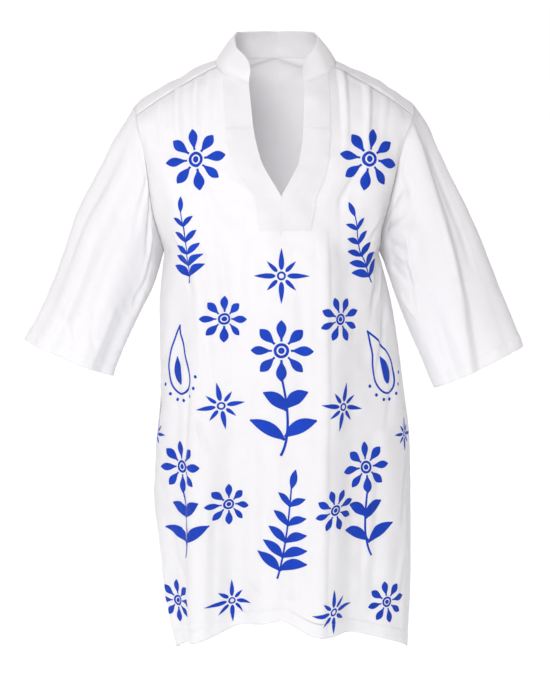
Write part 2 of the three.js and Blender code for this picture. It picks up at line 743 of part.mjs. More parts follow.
for (const [name, surface] of Object.entries(surfaces)) {
  const thick = name === "collar" ? COLLAR_CLOTH : CLOTH;
  addPiece(name, wall(surface, normals, thick, { seams }));
}
for (const [name, surface] of Object.entries(bands)) {
  const out = SEAM_GAP + BAND_CLOTH;
  addPiece(name, wall(surface, frontNormals, BAND_CLOTH, { out, seams: bandSeams }));
}
const pocketOut = -CLOTH - POCKET_INSIDE;
addPiece("pocket_right", wall(pocketSurface("right"), frontNormals, POCKET_CLOTH, { out: pocketOut }));

export default kaftan;
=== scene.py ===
import math

import bpy
import numpy as np
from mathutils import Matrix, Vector


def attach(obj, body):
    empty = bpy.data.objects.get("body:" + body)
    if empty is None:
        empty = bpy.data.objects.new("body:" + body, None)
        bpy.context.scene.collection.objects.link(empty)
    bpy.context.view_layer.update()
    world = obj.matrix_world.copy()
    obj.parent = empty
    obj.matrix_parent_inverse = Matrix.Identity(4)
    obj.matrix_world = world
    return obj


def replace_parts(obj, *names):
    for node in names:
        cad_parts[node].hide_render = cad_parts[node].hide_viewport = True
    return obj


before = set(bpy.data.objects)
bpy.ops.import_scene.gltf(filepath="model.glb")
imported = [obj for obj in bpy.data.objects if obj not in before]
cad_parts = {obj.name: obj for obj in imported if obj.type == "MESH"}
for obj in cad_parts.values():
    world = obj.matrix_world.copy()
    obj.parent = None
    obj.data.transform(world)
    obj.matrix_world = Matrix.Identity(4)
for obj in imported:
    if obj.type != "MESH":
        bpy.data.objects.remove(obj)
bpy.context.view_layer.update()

# The kaftan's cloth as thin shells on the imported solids' form. Sizes are in millimetres, in the frame's own
# axes: +Z up, the front faces -Y, and right and left are the wearer's. Meshes are made in metres.
MM = 0.001
CLOTH = 0.6  # thickness of the cloth's shells
COLLAR_CLOTH = 2.2
BAND_CLOTH = 0.7
POCKET_CLOTH = 0.9
BAND_LIFT = 0.35  # air between a band and the front under it
BAND_ROUNDING = 0.25
HEM_RELIEF = 0.7  # how far a hem's two more layers stand out
SIDE_SEAM_DIP = 0.6  # how far the cloth rolls in at a side seam or armhole
SHOULDER_SEAM_DIP = 0.12
BAND_PUCKER = 0.55  # height of the puckers beside a sewn-on band
ALLOWANCE_ROWS = 4  # rows of the front over the back's shoulder seam allowance
ALLOWANCE_INSIDE = 1.0  # how far the allowance lies inside the front
CENTRE_BEND = 16  # the front bends over this distance on either side of its centre line
ROW_STEP = 4.5  # spacing of the body's rows
BAND_COLUMNS = 3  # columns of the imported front's grid under a band
NECK_COLUMNS = 2  # its columns between a band and the shoulder seam
SEAM_COLUMNS = 13  # its columns along a shoulder seam
FINE = 6  # columns here for each of those columns
SIDES = {"right": -1, "left": 1}
SEEDS = {"front": 11, "back": 23, "bands": 31, "sleeve_right": 41, "sleeve_left": 53, "collar": 71}
NEAR = 1e-6  # positions closer than this are one
QUARTER_HANDLE = 0.5523  # handle of the cubic that follows a quarter of an ellipse
UNEVEN = 1.1  # height of the body's short unevenness
UNEVEN_LONG = 1.6  # and of its long one
SEAM_GROOVE = 1.6  # half width of the groove at a seam
SEAM_PUCKER = 0.45  # height of the puckers beside a seam
PUCKER_REACH = 9  # they fade over this distance
SEAM_REACH = 40  # no seam is felt further away
HEM_PUCKER = 0.5  # height of the puckers along a hem's stitches
HEM_PUCKER_SPREAD = 0.012  # and how far up and down they are felt, in positions up the body
SLEEVE_PUCKER_SPREAD = 0.02

# Sections of the front and back from the hem up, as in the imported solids. In is the centre line, V edge or
# neckline, Out is the side seam, armhole or shoulder tip, square is 1 for an elliptic quarter and 0 for a
# straight line, and rise lifts the curve's middle.
FRONT = """
name      up    inZ   inXRight inXLeft inY   outZ  outXRight outXLeft outY square rise bandRight bandLeft
hem       0.00  -874  2        2       -104  -942  -160      209      4    1.00   0    43        43
hemTop    0.02  -854  2        2       -105  -922  -164      210      4    1.00   0    43        43
hemStep   0.03  -851  2        2       -105  -919  -165      210      4    1.00   0    43        43
thigh     0.14  -765  3        3       -112  -812  -184      214      3    1.00   0    43        43
hip       0.28  -655  4        4       -121  -690  -199      213      2    1.00   0    43        43
pocketMid 0.36  -585  4        4       -126  -605  -195      211      1    1.00   0    43        43
waist     0.44  -510  5        5       -130  -520  -188      201      0    1.00   0    43        43
ribs      0.58  -385  5        5       -135  -390  -189      182      0    1.00   0    40        44
underarm  0.67  -300  5        5       -137  -302  -181      160      0    1.00   0    33        44
bandEnd   0.71  -266  5        5       -137  -270  -189      164      -26  0.95   0    33        46
vee       0.76  -214  5        5       -134  -228  -199      174      -46  0.85   0    42        54
chest     0.82  -156  -27      33      -122  -174  -205      186      -57  0.70   0    46        45
bandSeam  0.88  -108  -38      39      -108  -134  -212      196      -58  0.55   2    44        42
collar    0.94  -70   -42      40      -96   -106  -219      206      -52  0.35   5    43        40
shoulder  1.00  -40   -45      41      -84   -88   -223      213      -38  0.10   6    42        38
"""
BACK = """
name      up    inZ   inXRight inXLeft inY   outZ  outXRight outXLeft outY square rise
hem       0.00  -908  4        4       112   -942  -160      209      4    1.00   0
hemTop    0.02  -888  4        4       112   -922  -164      210      4    1.00   0
hemStep   0.03  -885  4        4       112   -919  -165      210      4    1.00   0
thigh     0.14  -785  4        4       114   -812  -184      214      3    1.00   0
hip       0.28  -665  4        4       115   -690  -199      213      2    1.00   0
pocketMid 0.36  -590  4        4       114   -605  -195      211      1    1.00   0
waist     0.44  -510  3        3       112   -520  -188      201      0    1.00   0
ribs      0.58  -385  2        2       113   -390  -189      182      0    1.00   0
underarm  0.67  -300  1        1       114   -302  -181      160      0    1.00   0
lower     0.75  -208  0        0       114   -226  -198      176      48   0.90   0
blade     0.83  -116  0        0       108   -162  -207      190      63   0.75   0
upper     0.90  -36   -2       -2      92    -110  -216      203      56   0.45   3
nape      0.94  9     -2       -2      76    -84   -221      209      36   0.25   4
rear      0.96  7     -60      54      62    -74   -224      213      14   0.15   5
neckRear  0.98  3     -96      88      22    -70   -225      215      -6   0.12   6
neckSide  0.99  -3    -99      92      -12   -76   -225      215      -22  0.10   6
shoulder  1.00  -11   -95      89      -40   -88   -223      213      -38  0.10   6
"""
NECK_EDGE = """
place xRight xLeft y   z
0     -45    41    -84 -40
1     -86    78    -62 -22
2     -95    89    -40 -11
"""
NECK_LIFT = 0.82
SEAM_RISE = 5
SIDE_CALM = 34
ARMHOLE_CALM = 14

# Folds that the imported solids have. across is measured along the cloth from the centre line, before and
# after are widths on the two sides of the crest, grow is the share of the height at the upper end, fade is
# the length over which that end dies away, and drop is how far the fold lowers the hem.
FRONT_FOLDS = """
name            across0 z0    across1 z1    before after height grow fade drop
rightRidge      -128    -300  -132    -960  38     52    27     0.20 160  4
rightValley     -70     -400  -72     -960  46     50    -19    0.08 160  -4
centreSwell     -10     -300  -6      -960  60     56    10     0.50 150  0
leftRidge       62      -240  58      -960  56     60    25     0.25 110  16
leftValley      150     -240  150     -960  70     84    -11    0.35 110  0
leftSwell       186     -480  184     -960  32     36    5      0.50 160  0
rightFlank      -205    -360  -214    -960  34     30    11     0.30 150  0
leftFlank       250     -380  252     -960  30     30    -3     0.40 150  0
chestRight      -152    -110  -158    -440  56     50    9      0.60 70   0
chestLeft       146     -110  150     -440  56     50    12     0.60 70   0
bustCreaseRight -150    -190  -96     -330  26     30    -5     0.60 60   0
bustCreaseLeft  150     -215  122     -330  28     26    -5     0.60 60   0
"""
BACK_FOLDS = """
name            across0 z0    across1 z1    before after height grow fade drop
rightRidge      -150    -250  -160    -960  48     44    24     0.15 170  5
rightValley     -88     -300  -96     -960  44     40    -18    0.20 170  0
centreRidge     -22     -200  -30     -960  46     50    18     0.15 180  6
leftValley      44      -330  46      -960  44     42    -16    0.20 170  0
leftRidge       108     -240  116     -960  46     44    26     0.15 170  8
leftFlank       180     -330  184     -960  40     44    -14    0.30 170  0
rightFlank      -216    -330  -222    -960  36     32    -10    0.30 170  0
"""
GATHERS = {
    "right": """
column height length
6      3.0    140
8      5.0    200
11     4.5    170
14     2.5    120
""",
    "left": """
column height length
6      5.5    180
10     6.0    215
13     2.5    100
""",
}

# Finer creases, only on the shells.
FRONT_CREASES = """
across0 z0    across1 z1    before after height fade
-142    -262  -104    -530  22     16    6.0    50
-98     -290  -76     -490  10     16    -4.5   40
-130    -556  -106    -624  6      6     3.6    12
-122    -420  -112    -560  8      10    -2.6   30
-160    -430  -168    -640  10     14    3.0    60
-150    -470  -160    -900  8      9     -3.4   60
-104    -660  -108    -950  7      9     -3.2   50
-36     -560  -44     -900  12     16    -3.4   80
-52     -280  -50     -470  12     12    -2.6   60
30      -300  34      -620  16     14    -2.8   60
22      -640  30      -940  14     12    -3.0   80
68      -250  66      -930  18     8     3.2    60
150     -600  146     -900  14     16    3.6    80
176     -236  140     -300  8      10    -3.4   20
186     -262  150     -318  9      8     3.2    20
180     -300  150     -420  8      12    -3.4   30
190     -286  158     -352  7      6     -3.2   15
196     -318  172     -388  6      7     3.0    15
196     -380  160     -520  9      13    -3.4   30
208     -470  176     -600  10     14    -3.2   30
-158    -250  -112    -322  8      12    -3.4   25
-176    -290  -134    -380  8      14    -3.6   30
-182    -262  -150    -318  7      8     3.0    20
-62     -812  -20     -846  6      9     -2.4   12
-20     -826  46      -842  6      8     -2.2   12
-84     -836  -40     -886  7      8     2.2    12
-196    -760  -150    -850  8      12    -3.4   25
-206    -700  -170    -800  8      10    -3.0   25
-214    -640  -186    -730  9      11    -2.6   25
222     -760  200     -880  12     12    3.0    40
232     -640  214     -760  10     12    -3.0   30
96      -160  92      -262  8      10    -2.4   25
-104    -150  -96     -240  10     8     -2.4   25
-30     -300  -28     -380  9      9     -1.6   25
"""
BACK_CREASES = """
across0 z0    across1 z1    before after height fade
-60     -60   -50     -220  14     10    -2.4   40
58      -70   52      -240  10     14    -2.4   40
-120    -140  -150    -280  12     9     -2.6   30
124     -150  156     -300  9      12    -2.6   30
-170    -260  -130    -350  9      14    -2.6   30
172     -270  132     -360  14     9     -2.6   30
-20     -330  -24     -640  14     18    3.0    80
80      -420  76      -760  16     12    3.0    80
-120    -520  -126    -860  12     16    -3.0   80
150     -560  146     -900  14     14    -3.0   80
20      -700  26      -940  12     14    -2.4   60
-180    -640  -190    -860  12     14    2.6    60
"""

SLEEVES = {
    "right": """
along innerX innerZ outerX outerZ depth middle
0.00  -181   -302   -224   -70    60    0
0.12  -188   -326   -243   -98    60    -2
0.30  -198   -356   -278   -164   58    -6
0.50  -218   -396   -316   -236   57    -8
0.75  -241   -444   -352   -340   58    -9
0.94  -258   -484   -390   -418   60    -10
0.96  -260   -488   -394   -425   60    -10
1.00  -263   -499   -402   -440   60    -10
""",
    "left": """
along innerX innerZ outerX outerZ depth middle
0.00  160    -302   215    -72    60    0
0.12  172    -327   237    -108   60    -2
0.30  186    -369   267    -176   58    -6
0.50  205    -418   304    -250   57    -8
0.75  228    -470   346    -350   58    -9
0.94  243    -506   380    -430   60    -10
0.96  245    -509   383    -436   60    -10
1.00  249    -518   388    -450   60    -10
""",
}
SLEEVE_SETTLE = 0.4
SLEEVE_LENGTH = 400
SLEEVE_ROWS = 120
SLEEVE_GIRTH = 1.2  # sleeve cloth round a sleeve for each degree
SLEEVE_SEAM_GIRTH = 1.1  # and beside its seam
SLEEVE_RADIUS = 70
SLEEVE_UNEVEN = 0.6
SLEEVE_HEM, SLEEVE_STEP = -3, -2  # rows of a sleeve's table where its hem starts to stand out, and fully does
# Folds of the sleeves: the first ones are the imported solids', and the rest are finer creases. around is in
# degrees, from the underarm (0) over the front (90) and the top (180) to the back (270).
SLEEVE_FOLDS = {
    "right": """
around0 along0 around1 along1 before after height fade
118     0.05   122     1.05   22     26    8      0.25
78      0.10   72      1.05   20     20    6      0.30
99      0.20   97      1.05   14     14    -5     0.30
158     0.02   152     1.05   20     20    5      0.20
40      0.25   34      1.05   20     22    -7     0.30
226     0.05   222     1.05   22     24    8      0.25
262     0.10   266     1.05   20     22    -6     0.30
304     0.15   306     1.05   22     22    7      0.30
""",
    "left": """
around0 along0 around1 along1 before after height fade
140     0.02   72      1.05   34     12    7      0.15
154     0.02   86      1.05   12     34    -4     0.15
176     0.02   150     1.05   22     26    5      0.20
60      0.30   58      1.05   22     20    -6     0.30
56      0.08   84      0.45   24     24    6      0.10
224     0.05   228     1.05   22     24    8      0.25
262     0.10   262     1.05   22     22    -6     0.30
300     0.15   296     1.05   22     22    7      0.30
""",
}
SLEEVE_CREASES = {
    "right": """
around0 along0 around1 along1 before after height fade
70      0.03   44      0.30   6      9     -3.4   0.05
52      0.12   30      0.46   7      8     3.4    0.05
40      0.22   22      0.60   6      9     -3.6   0.06
88      0.03   76      0.34   6      8     -2.8   0.06
132     0.20   138     0.70   6      9     -2.6   0.15
110     0.50   112     1.05   6      7     2.2    0.15
60      0.55   58      1.05   7      9     2.4    0.15
92      0.72   60      0.92   5      8     -3.0   0.04
118     0.80   84      0.95   6      7     2.6    0.04
172     0.10   170     0.60   8      8     -1.8   0.15
240     0.05   244     0.50   8      8     -2.0   0.10
290     0.30   286     0.90   8      10    2.0    0.20
""",
    "left": """
around0 along0 around1 along1 before after height fade
44      0.03   88      0.14   6      8     -3.8   0.03
58      0.05   100     0.20   7      7     3.6    0.03
38      0.07   92      0.24   6      7     -4.0   0.03
46      0.10   86      0.29   7      6     3.8    0.03
32      0.12   78      0.33   6      7     -4.0   0.04
40      0.17   70      0.38   7      7     3.6    0.04
26      0.20   64      0.46   7      8     -3.8   0.04
74      0.22   48      0.44   7      7     3.2    0.04
58      0.28   34      0.54   7      8     -3.0   0.04
24      0.32   44      0.60   6      7     3.2    0.05
100     0.05   92      0.24   6      8     -2.0   0.05
118     0.30   96      0.85   5      7     2.4    0.12
150     0.15   128     0.70   8      7     -2.0   0.15
60      0.60   50      1.05   7      9     2.0    0.12
172     0.10   176     0.60   8      8     -1.8   0.15
236     0.05   240     0.50   8      8     -2.0   0.10
292     0.30   288     0.90   8      10    2.0    0.20
""",
}

COLLAR = """
around rise lean
0.00   27   10
0.10   36   22
0.25   41   29
0.45   42   31
0.75   42   24
1.00   41   15
"""
COLLAR_CORNER = 12
COLLAR_BELLY = 2.5
COLLAR_LEVELS = 20
COLLAR_STEPS = 90  # columns along half the collar
COLLAR_END_STEPS = (0.4, 0.9, 1.6)  # and more columns this far from its front end
COLLAR_CROWDING = 0.85  # crowds the levels towards the top edge
COLLAR_END_SHARE = 0.4  # the rounding of its front end is felt over this share of a half
COLLAR_UNEVEN = 0.7
COLLAR_HEIGHT = 42
COLLAR_ROUNDING = 0.7
NECK_AXIS = np.array([-2.0, 6.0, 0.0])

POCKET_GAPE = 11  # how far the mouth's edge stands off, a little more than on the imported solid
POCKET_DRAW = 0.9  # the share of it by which the edge is drawn in
POCKET_REACH = 36  # the gape is felt this far into the front
POCKET_TOP = -520
POCKET_BOTTOM = -690
BAG_TOP = -470
BAG_BOTTOM = -735
BAG_COLUMNS = 5
BAG_INSIDE = 3.1  # how far the bag lies inside the front


# ---- tables and curves

def table(text):
    """Rows of a table whose first line names its columns."""
    lines = text.strip().splitlines()
    columns = lines[0].split()
    return [
        {c: cell if c == "name" else float(cell) for c, cell in zip(columns, line.split())}
        for line in lines[1:]
    ]


FRONT, BACK, NECK_EDGE, COLLAR = map(table, (FRONT, BACK, NECK_EDGE, COLLAR))
FRONT_FOLDS, BACK_FOLDS = map(table, (FRONT_FOLDS, BACK_FOLDS))
FRONT_CREASES, BACK_CREASES = map(table, (FRONT_CREASES, BACK_CREASES))
GATHERS = {name: table(text) for name, text in GATHERS.items()}
SLEEVES = {name: table(text) for name, text in SLEEVES.items()}
SLEEVE_FOLDS = {name: table(text) for name, text in SLEEVE_FOLDS.items()}
SLEEVE_CREASES = {name: table(text) for name, text in SLEEVE_CREASES.items()}


def smooth(low, high, x):
    s = np.clip((x - low) / (high - low), 0, 1)
    return s * s * (3 - 2 * s)


def slope_between(a, b, own):
    """The slope where spans climb at a and b, as seen from the span that climbs at own."""
    if a == 0 or b == 0:
        return own
    return 0 if a * b < 0 else 2 * a * b / (a + b)


def lookup(rows, key, x):
    """Every number column at position x of the key column, by a cubic that never overshoots."""
    last = len(rows) - 1
    i = 0
    while i < last - 1 and x > rows[i + 1][key]:
        i += 1
    a, b = rows[i], rows[i + 1]
    span = b[key] - a[key]
    s = (x - a[key]) / span
    found = {}
    for c in a:
        if c == "name":
            continue
        rates = [
            (rows[j + 1][c] - rows[j][c]) / (rows[j + 1][key] - rows[j][key])
            for j in (max(i - 1, 0), i, min(i + 1, last - 1))
        ]
        corner_a = i == 0 or a.get("name") == "underarm"
        corner_b = i == last - 1 or b.get("name") == "underarm"
        slope_a = rates[1] if corner_a else slope_between(rates[0], rates[1], rates[1])
        slope_b = rates[1] if corner_b else slope_between(rates[1], rates[2], rates[1])
        found[c] = (
            (2 * s**3 - 3 * s**2 + 1) * a[c]
            + (s**3 - 2 * s**2 + s) * slope_a * span
            + (3 * s**2 - 2 * s**3) * b[c]
            + (s**3 - s**2) * slope_b * span
        )
    return found


def up_of(sections, name):
    return next(s["up"] for s in sections if s["name"] == name)


def between(ups, low, high=1):
    """Which positions lie from one to another, both included."""
    return (ups >= low - NEAR) & (ups <= high + NEAR)


def bezier(points, samples=200):
    t = np.linspace(0, 1, samples + 1)[:, None]
    a, b, c, d = points
    return (1 - t) ** 3 * a + 3 * (1 - t) ** 2 * t * b + 3 * (1 - t) * t**2 * c + t**3 * d


def lengths(line):
    """Distance along a line of points, at each of them."""
    return np.concatenate([[0], np.cumsum(np.linalg.norm(np.diff(line, axis=0), axis=1))])


def sampled(values, run, places):
    """Each column of values, which stand at a run of distances, at other places in the run."""
    return np.stack([np.interp(places, run, values[:, k]) for k in range(values.shape[1])], axis=-1)


def along_line(line, distances):
    """Points at distances along a line of points."""
    return sampled(line, lengths(line), distances)


def section_curve(sections, up, side_name):
    s = lookup(sections, "up", up)
    name = side_name.capitalize()
    inner = np.array([s["inX" + name], s["inY"], s["inZ"]])
    outer = np.array([s["outX" + name], s["outY"], s["outZ"]])
    dx, dy, dz = outer - inner
    main = 1 / 3 + (QUARTER_HANDLE - 1 / 3) * s["square"]
    cross = (1 - s["square"]) / 3
    first = inner + [main * dx, cross * dy, dz / 3 + s["rise"]]
    second = outer - [cross * dx, main * dy, dz / 3 - s["rise"]]
    return bezier((inner, first, second, outer)), s


# ---- the body's panels

def spread(length, columns, count, band, banding):
    """Distance across the cloth of each column, evenly spaced but for those under a band."""
    even = length * columns / count
    past = (columns - BAND_COLUMNS) / (count - BAND_COLUMNS)
    banded = np.where(past < 0, band * columns / BAND_COLUMNS, band + (length - band) * past)
    return even + (banded - even) * banding


def section_points(sections, up, side_name, columns, count):
    curve, s = section_curve(sections, up, side_name)
    length = lengths(curve)[-1]
    band = s.get("band" + side_name.capitalize(), 0)
    banding = smooth(up_of(FRONT, "ribs"), up_of(FRONT, "bandEnd"), up) if band else 0
    across = spread(length, columns, count, band, banding)
    return along_line(curve, across), across, length


def top_edge(column, side_name, tip):
    """Where the front's top edge lies at a column: on the neckline, then along the shoulder seam."""
    def neck(place):
        e = lookup(NECK_EDGE, "place", place)
        return np.array([e["x" + side_name.capitalize()], e["y"], e["z"]])

    if column <= BAND_COLUMNS:
        return neck(column / BAND_COLUMNS)
    if column <= BAND_COLUMNS + NECK_COLUMNS:
        return neck(1 + (column - BAND_COLUMNS) / NECK_COLUMNS)
    start, lift = neck(2), np.array([0, 0, SEAM_RISE])
    seam = bezier((start, start + (tip - start) / 3 + lift, start + (tip - start) * 2 / 3 + lift, tip))
    share = (column - BAND_COLUMNS - NECK_COLUMNS) / SEAM_COLUMNS
    return along_line(seam, share * lengths(seam)[-1])


def row_ups(sections):
    """Positions of the rows, with those of the side seams the same on front and back."""
    ups = []
    for a, b in zip(sections, sections[1:]):
        steps = max(2, math.ceil(abs(b["outZ"] - a["outZ"]) / ROW_STEP))
        if a["up"] >= up_of(sections, "underarm"):
            rise = max(abs(b["inZ"] - a["inZ"]), abs(b["outZ"] - a["outZ"]), abs(b["inY"] - a["inY"]))
            steps = max(3, math.ceil(rise / ROW_STEP))
        ups.extend(a["up"] + (b["up"] - a["up"]) * np.arange(steps) / steps)
    return np.array(ups + [1.0])


def fold_heights(folds, across, z):
    """Height and drop of a table's folds at points of the cloth."""
    height, drop = np.zeros_like(z), np.zeros_like(z)
    for f in folds:
        run = np.clip((f["z0"] - z) / (f["z0"] - f["z1"]), 0, 1)
        off = across - (f["across0"] + (f["across1"] - f["across0"]) * run)
        share = np.minimum(np.abs(off) / np.where(off < 0, f["before"], f["after"]), 1)
        bump = np.where(z > f["z0"], 0, (1 - share**2) ** 2)
        tail = 1 if f["z1"] < -900 else 1 - smooth(0.55, 1, run)
        grow = f.get("grow", 1) + (1 - f.get("grow", 1)) * run
        height += f["height"] * grow * smooth(0, f["fade"], f["z0"] - z) * tail * bump
        drop += f.get("drop", 0) * run**2 * bump
    return height, drop


def gather_heights(gathers, columns, below):
    height = np.zeros_like(below)
    for g in gathers:
        share = np.minimum(np.abs(columns - g["column"]), 1)
        height += g["height"] * (1 - share**2) ** 2 * (1 - smooth(0, g["length"], below))
    return height


def ripple(a, b, seed, waves=14, shortest=26, longest=110):
    """Soft unevenness over a surface with coordinates a and b, from -1 to 1."""
    rng = np.random.default_rng(seed)
    total = np.zeros_like(a)
    for _ in range(waves):
        turn, phase = rng.uniform(0, math.pi), rng.uniform(0, 2 * math.pi)
        size = math.exp(rng.uniform(math.log(shortest), math.log(longest)))
        total += np.sin((a * math.cos(turn) + b * math.sin(turn)) * 2 * math.pi / size + phase)
    return total / math.sqrt(waves) / 1.6


def seam_dip(distance, along, seed, depth=0.9):
    """A sewn edge: it rolls in, and the cloth beside it puckers."""
    groove = -depth * np.exp(-((distance / SEAM_GROOVE) ** 2))
    pucker = ripple(along, distance * 0.2, seed, 6, 7, 18) * SEAM_PUCKER * np.exp(-distance / PUCKER_REACH)
    return groove + pucker * smooth(0, 2, distance)


def cross_normals(du, dv):
    n = np.cross(du, dv)
    return n / np.linalg.norm(n, axis=-1, keepdims=True)


def grid_normals(grid, mirror=None, closed=False):
    """Normals of a grid. mirror holds the first column's neighbours on the other side of the centre line."""
    du = np.gradient(grid, axis=1)
    if mirror is not None:
        joined = ~np.isnan(mirror[:, 0])
        du[joined, 0] = (grid[:, 1] - mirror)[joined] / 2
    if closed:
        du[:, 0] = du[:, -1] = (grid[:, 1] - grid[:, -2]) / 2
    return cross_normals(du, np.gradient(grid, axis=0))


class Panel:
    """The front or back as two half grids, with each point's place across the cloth and its height in it."""

    def __init__(self, sections, folds, creases, is_front):
        self.is_front = is_front
        self.sections = sections
        self.ups = row_ups(sections)
        count = BAND_COLUMNS + NECK_COLUMNS + SEAM_COLUMNS if is_front else SEAM_COLUMNS
        inner = np.arange(count * FINE + 1) / FINE
        self.columns = np.unique(np.concatenate([inner, count - np.array([0.05, 0.1, 0.25])]))
        self.count = count
        self.base, self.across, self.left, self.halves, self.normals = {}, {}, {}, {}, {}
        for name in SIDES:
            self.lay_out(name)
        for name in SIDES:
            self.fold(name, folds, creases)
        for name in SIDES:
            self.normals[name] = self.normals_of(self.halves, name)

    def lay_out(self, name):
        rows = [section_points(self.sections, up, name, self.columns, self.count) for up in self.ups]
        base = np.array([r[0] for r in rows])
        across = np.array([r[1] for r in rows])
        tip = base[-1, -1]
        shift = 0 if self.is_front else BAND_COLUMNS + NECK_COLUMNS
        edge = np.array([top_edge(c + shift, name, tip) for c in self.columns])
        lift = np.maximum((self.ups - NECK_LIFT) / (1 - NECK_LIFT), 0) ** 2
        if not self.is_front:
            lift = (self.ups == 1).astype(float)
        base += lift[:, None, None] * (edge - base[-1])[None]
        self.base[name] = base
        self.across[name] = across * SIDES[name]
        self.left[name] = np.array([r[2] for r in rows])[:, None] - across

    def normals_of(self, halves, name):
        other = halves["left" if name == "right" else "right"]
        split = up_of(self.sections, "vee" if self.is_front else "nape")
        mirror = np.where(between(self.ups, 0, split)[:, None], other[:, 1], np.nan)
        turn = SIDES[name] * (1 if self.is_front else -1)
        return grid_normals(halves[name], mirror) * turn

    def fold(self, name, folds, creases):
        base, across, left = self.base[name], self.across[name], self.left[name]
        normals = self.normals_of(self.base, name)
        z = base[..., 2]
        ups = self.ups[:, None]
        above = ups > up_of(self.sections, "underarm")
        calm = smooth(0, 1, left / np.where(above, ARMHOLE_CALM, SIDE_CALM))
        height, drop = fold_heights(folds, across, z)
        height *= 1 - smooth(0.985, 1, ups)
        if self.is_front:
            height += gather_heights(GATHERS[name], self.columns, base[-1, :, 2] - z)
            height += self.band_puckers(across, z, ups)
            height -= self.centre_rounding(across, ups)
        height += fold_heights(creases, across, z)[0]
        seed = SEEDS["front" if self.is_front else "back"]
        long_ripple = ripple(across * 1.6, z, seed + 1, 14, 60, 240)
        height += ripple(across, z, seed) * UNEVEN + long_ripple * UNEVEN_LONG
        height *= calm * (ups < 1)
        top = np.linalg.norm(base[-1] - base, axis=-1)
        height += np.where(left < SEAM_REACH, seam_dip(left, z, seed + 2, SIDE_SEAM_DIP), 0)
        at_shoulder = (ups > 0.9) & (top < SEAM_REACH)
        height += np.where(at_shoulder, seam_dip(top, across, seed + 3, SHOULDER_SEAM_DIP), 0)
        hem_top = up_of(self.sections, "hemTop")
        height += HEM_RELIEF * (1 - smooth(hem_top, up_of(self.sections, "hemStep"), ups))
        hem_ripple = ripple(across, z * 0, seed + 4, 6, 9, 24)
        height += HEM_PUCKER * hem_ripple * np.exp(-(((ups - hem_top) / HEM_PUCKER_SPREAD) ** 2))
        made = base + normals * height[..., None]
        made[..., 2] -= calm * drop
        if self.is_front and name == "right":
            open_pocket(made, base[:, -1, 2], left)
        self.halves[name] = made

    def centre_rounding(self, across, ups):
        """What the ridge down the centre line loses, so that the cloth bends softly over it."""
        slopes = []
        for base in self.base.values():
            step = base[:, 1] - base[:, 0]
            climb = np.gradient(base[:, 0, 1], base[:, 0, 2])
            slopes.append((step[:, 1] - climb * step[:, 2]) / np.abs(step[:, 0]))
        within = np.maximum(CENTRE_BEND - np.abs(across), 0)
        joined = 1 - smooth(up_of(FRONT, "bandEnd"), up_of(FRONT, "vee"), ups)
        return joined * (sum(slopes) / 2)[:, None] * within**2 / (2 * CENTRE_BEND)

    def band_puckers(self, across, z, ups):
        """Short ripples that the seam of a band draws into the cloth beside it."""
        beside = np.abs(np.abs(across) - np.abs(across[:, BAND_COLUMNS * FINE])[:, None])
        ripples = ripple(z, across * 0.15, SEEDS["bands"], 8, 7, 20)
        band_end = up_of(FRONT, "bandEnd")
        reach = smooth(band_end - 0.01, band_end + 0.01, ups) * np.exp(-beside / PUCKER_REACH)
        return BAND_PUCKER * ripples * reach * (1 - smooth(0.95, 1, ups))

    def armhole(self, name):
        rows = between(self.ups, up_of(self.sections, "underarm"))
        return self.base[name][rows, -1], self.halves[name][rows, -1]

    def places(self, name):
        """Each point's place across and down the flat cloth."""
        return np.stack([self.across[name], self.base[name][..., 2]], axis=-1)


def open_pocket(grid, edge_z, left):
    """The front's edge leaves the side seam along the pocket's mouth."""
    share = (edge_z - POCKET_BOTTOM) / (POCKET_TOP - POCKET_BOTTOM)
    share = np.where((share > 0) & (share < 1), np.sin(math.pi * share), 0)
    gape = POCKET_GAPE * share[:, None] * np.clip(1 - left / POCKET_REACH, 0, 1)
    grid[..., 1] -= gape
    grid[..., 0] += POCKET_DRAW * gape


front = Panel(FRONT, FRONT_FOLDS, FRONT_CREASES, True)
back = Panel(BACK, BACK_FOLDS, BACK_CREASES, False)


# ---- making meshes

def new_object(name, vertices, faces, uvs=None, thick=None):
    """A smooth mesh in metres that rides on the part. uvs are per vertex, in metres of cloth."""
    mesh = bpy.data.meshes.new(name)
    mesh.from_pydata((np.asarray(vertices) * MM).tolist(), [], faces)
    mesh.shade_smooth()
    if uvs is not None:
        layer = mesh.uv_layers.new(name="cloth")
        corner = np.empty(len(mesh.loops), dtype=np.int32)
        mesh.loops.foreach_get("vertex_index", corner)
        layer.data.foreach_set("uv", (np.asarray(uvs)[corner] * MM).ravel())
    made = bpy.data.objects.new(name, mesh)
    bpy.context.scene.collection.objects.link(made)
    if thick:
        shell = made.modifiers.new("thickness", "SOLIDIFY")
        shell.thickness = thick * MM
        shell.offset = -1
    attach(made, "root")
    return made


def round_edges(made, width, segments):
    rounding = made.modifiers.new("rounding", "BEVEL")
    rounding.width = width * MM
    rounding.segments = segments
    rounding.angle_limit = math.radians(50)


def grid_faces(rows, columns, start=0, flip=False):
    faces = []
    for r in range(rows - 1):
        for c in range(columns - 1):
            a = start + r * columns + c
            face = (a, a + 1, a + columns + 1, a + columns)
            faces.append(face[::-1] if flip else face)
    return faces


def weld(vertices, faces, uvs):
    """Joins vertices that lie at one place."""
    _, first, index = np.unique(
        np.round(vertices, 3), axis=0, return_index=True, return_inverse=True
    )
    index = index.ravel()
    joined = []
    for f in faces:
        corners = list(dict.fromkeys(index[list(f)].tolist()))
        if len(corners) > 2:
            joined.append(corners)
    return vertices[first], joined, uvs[first]


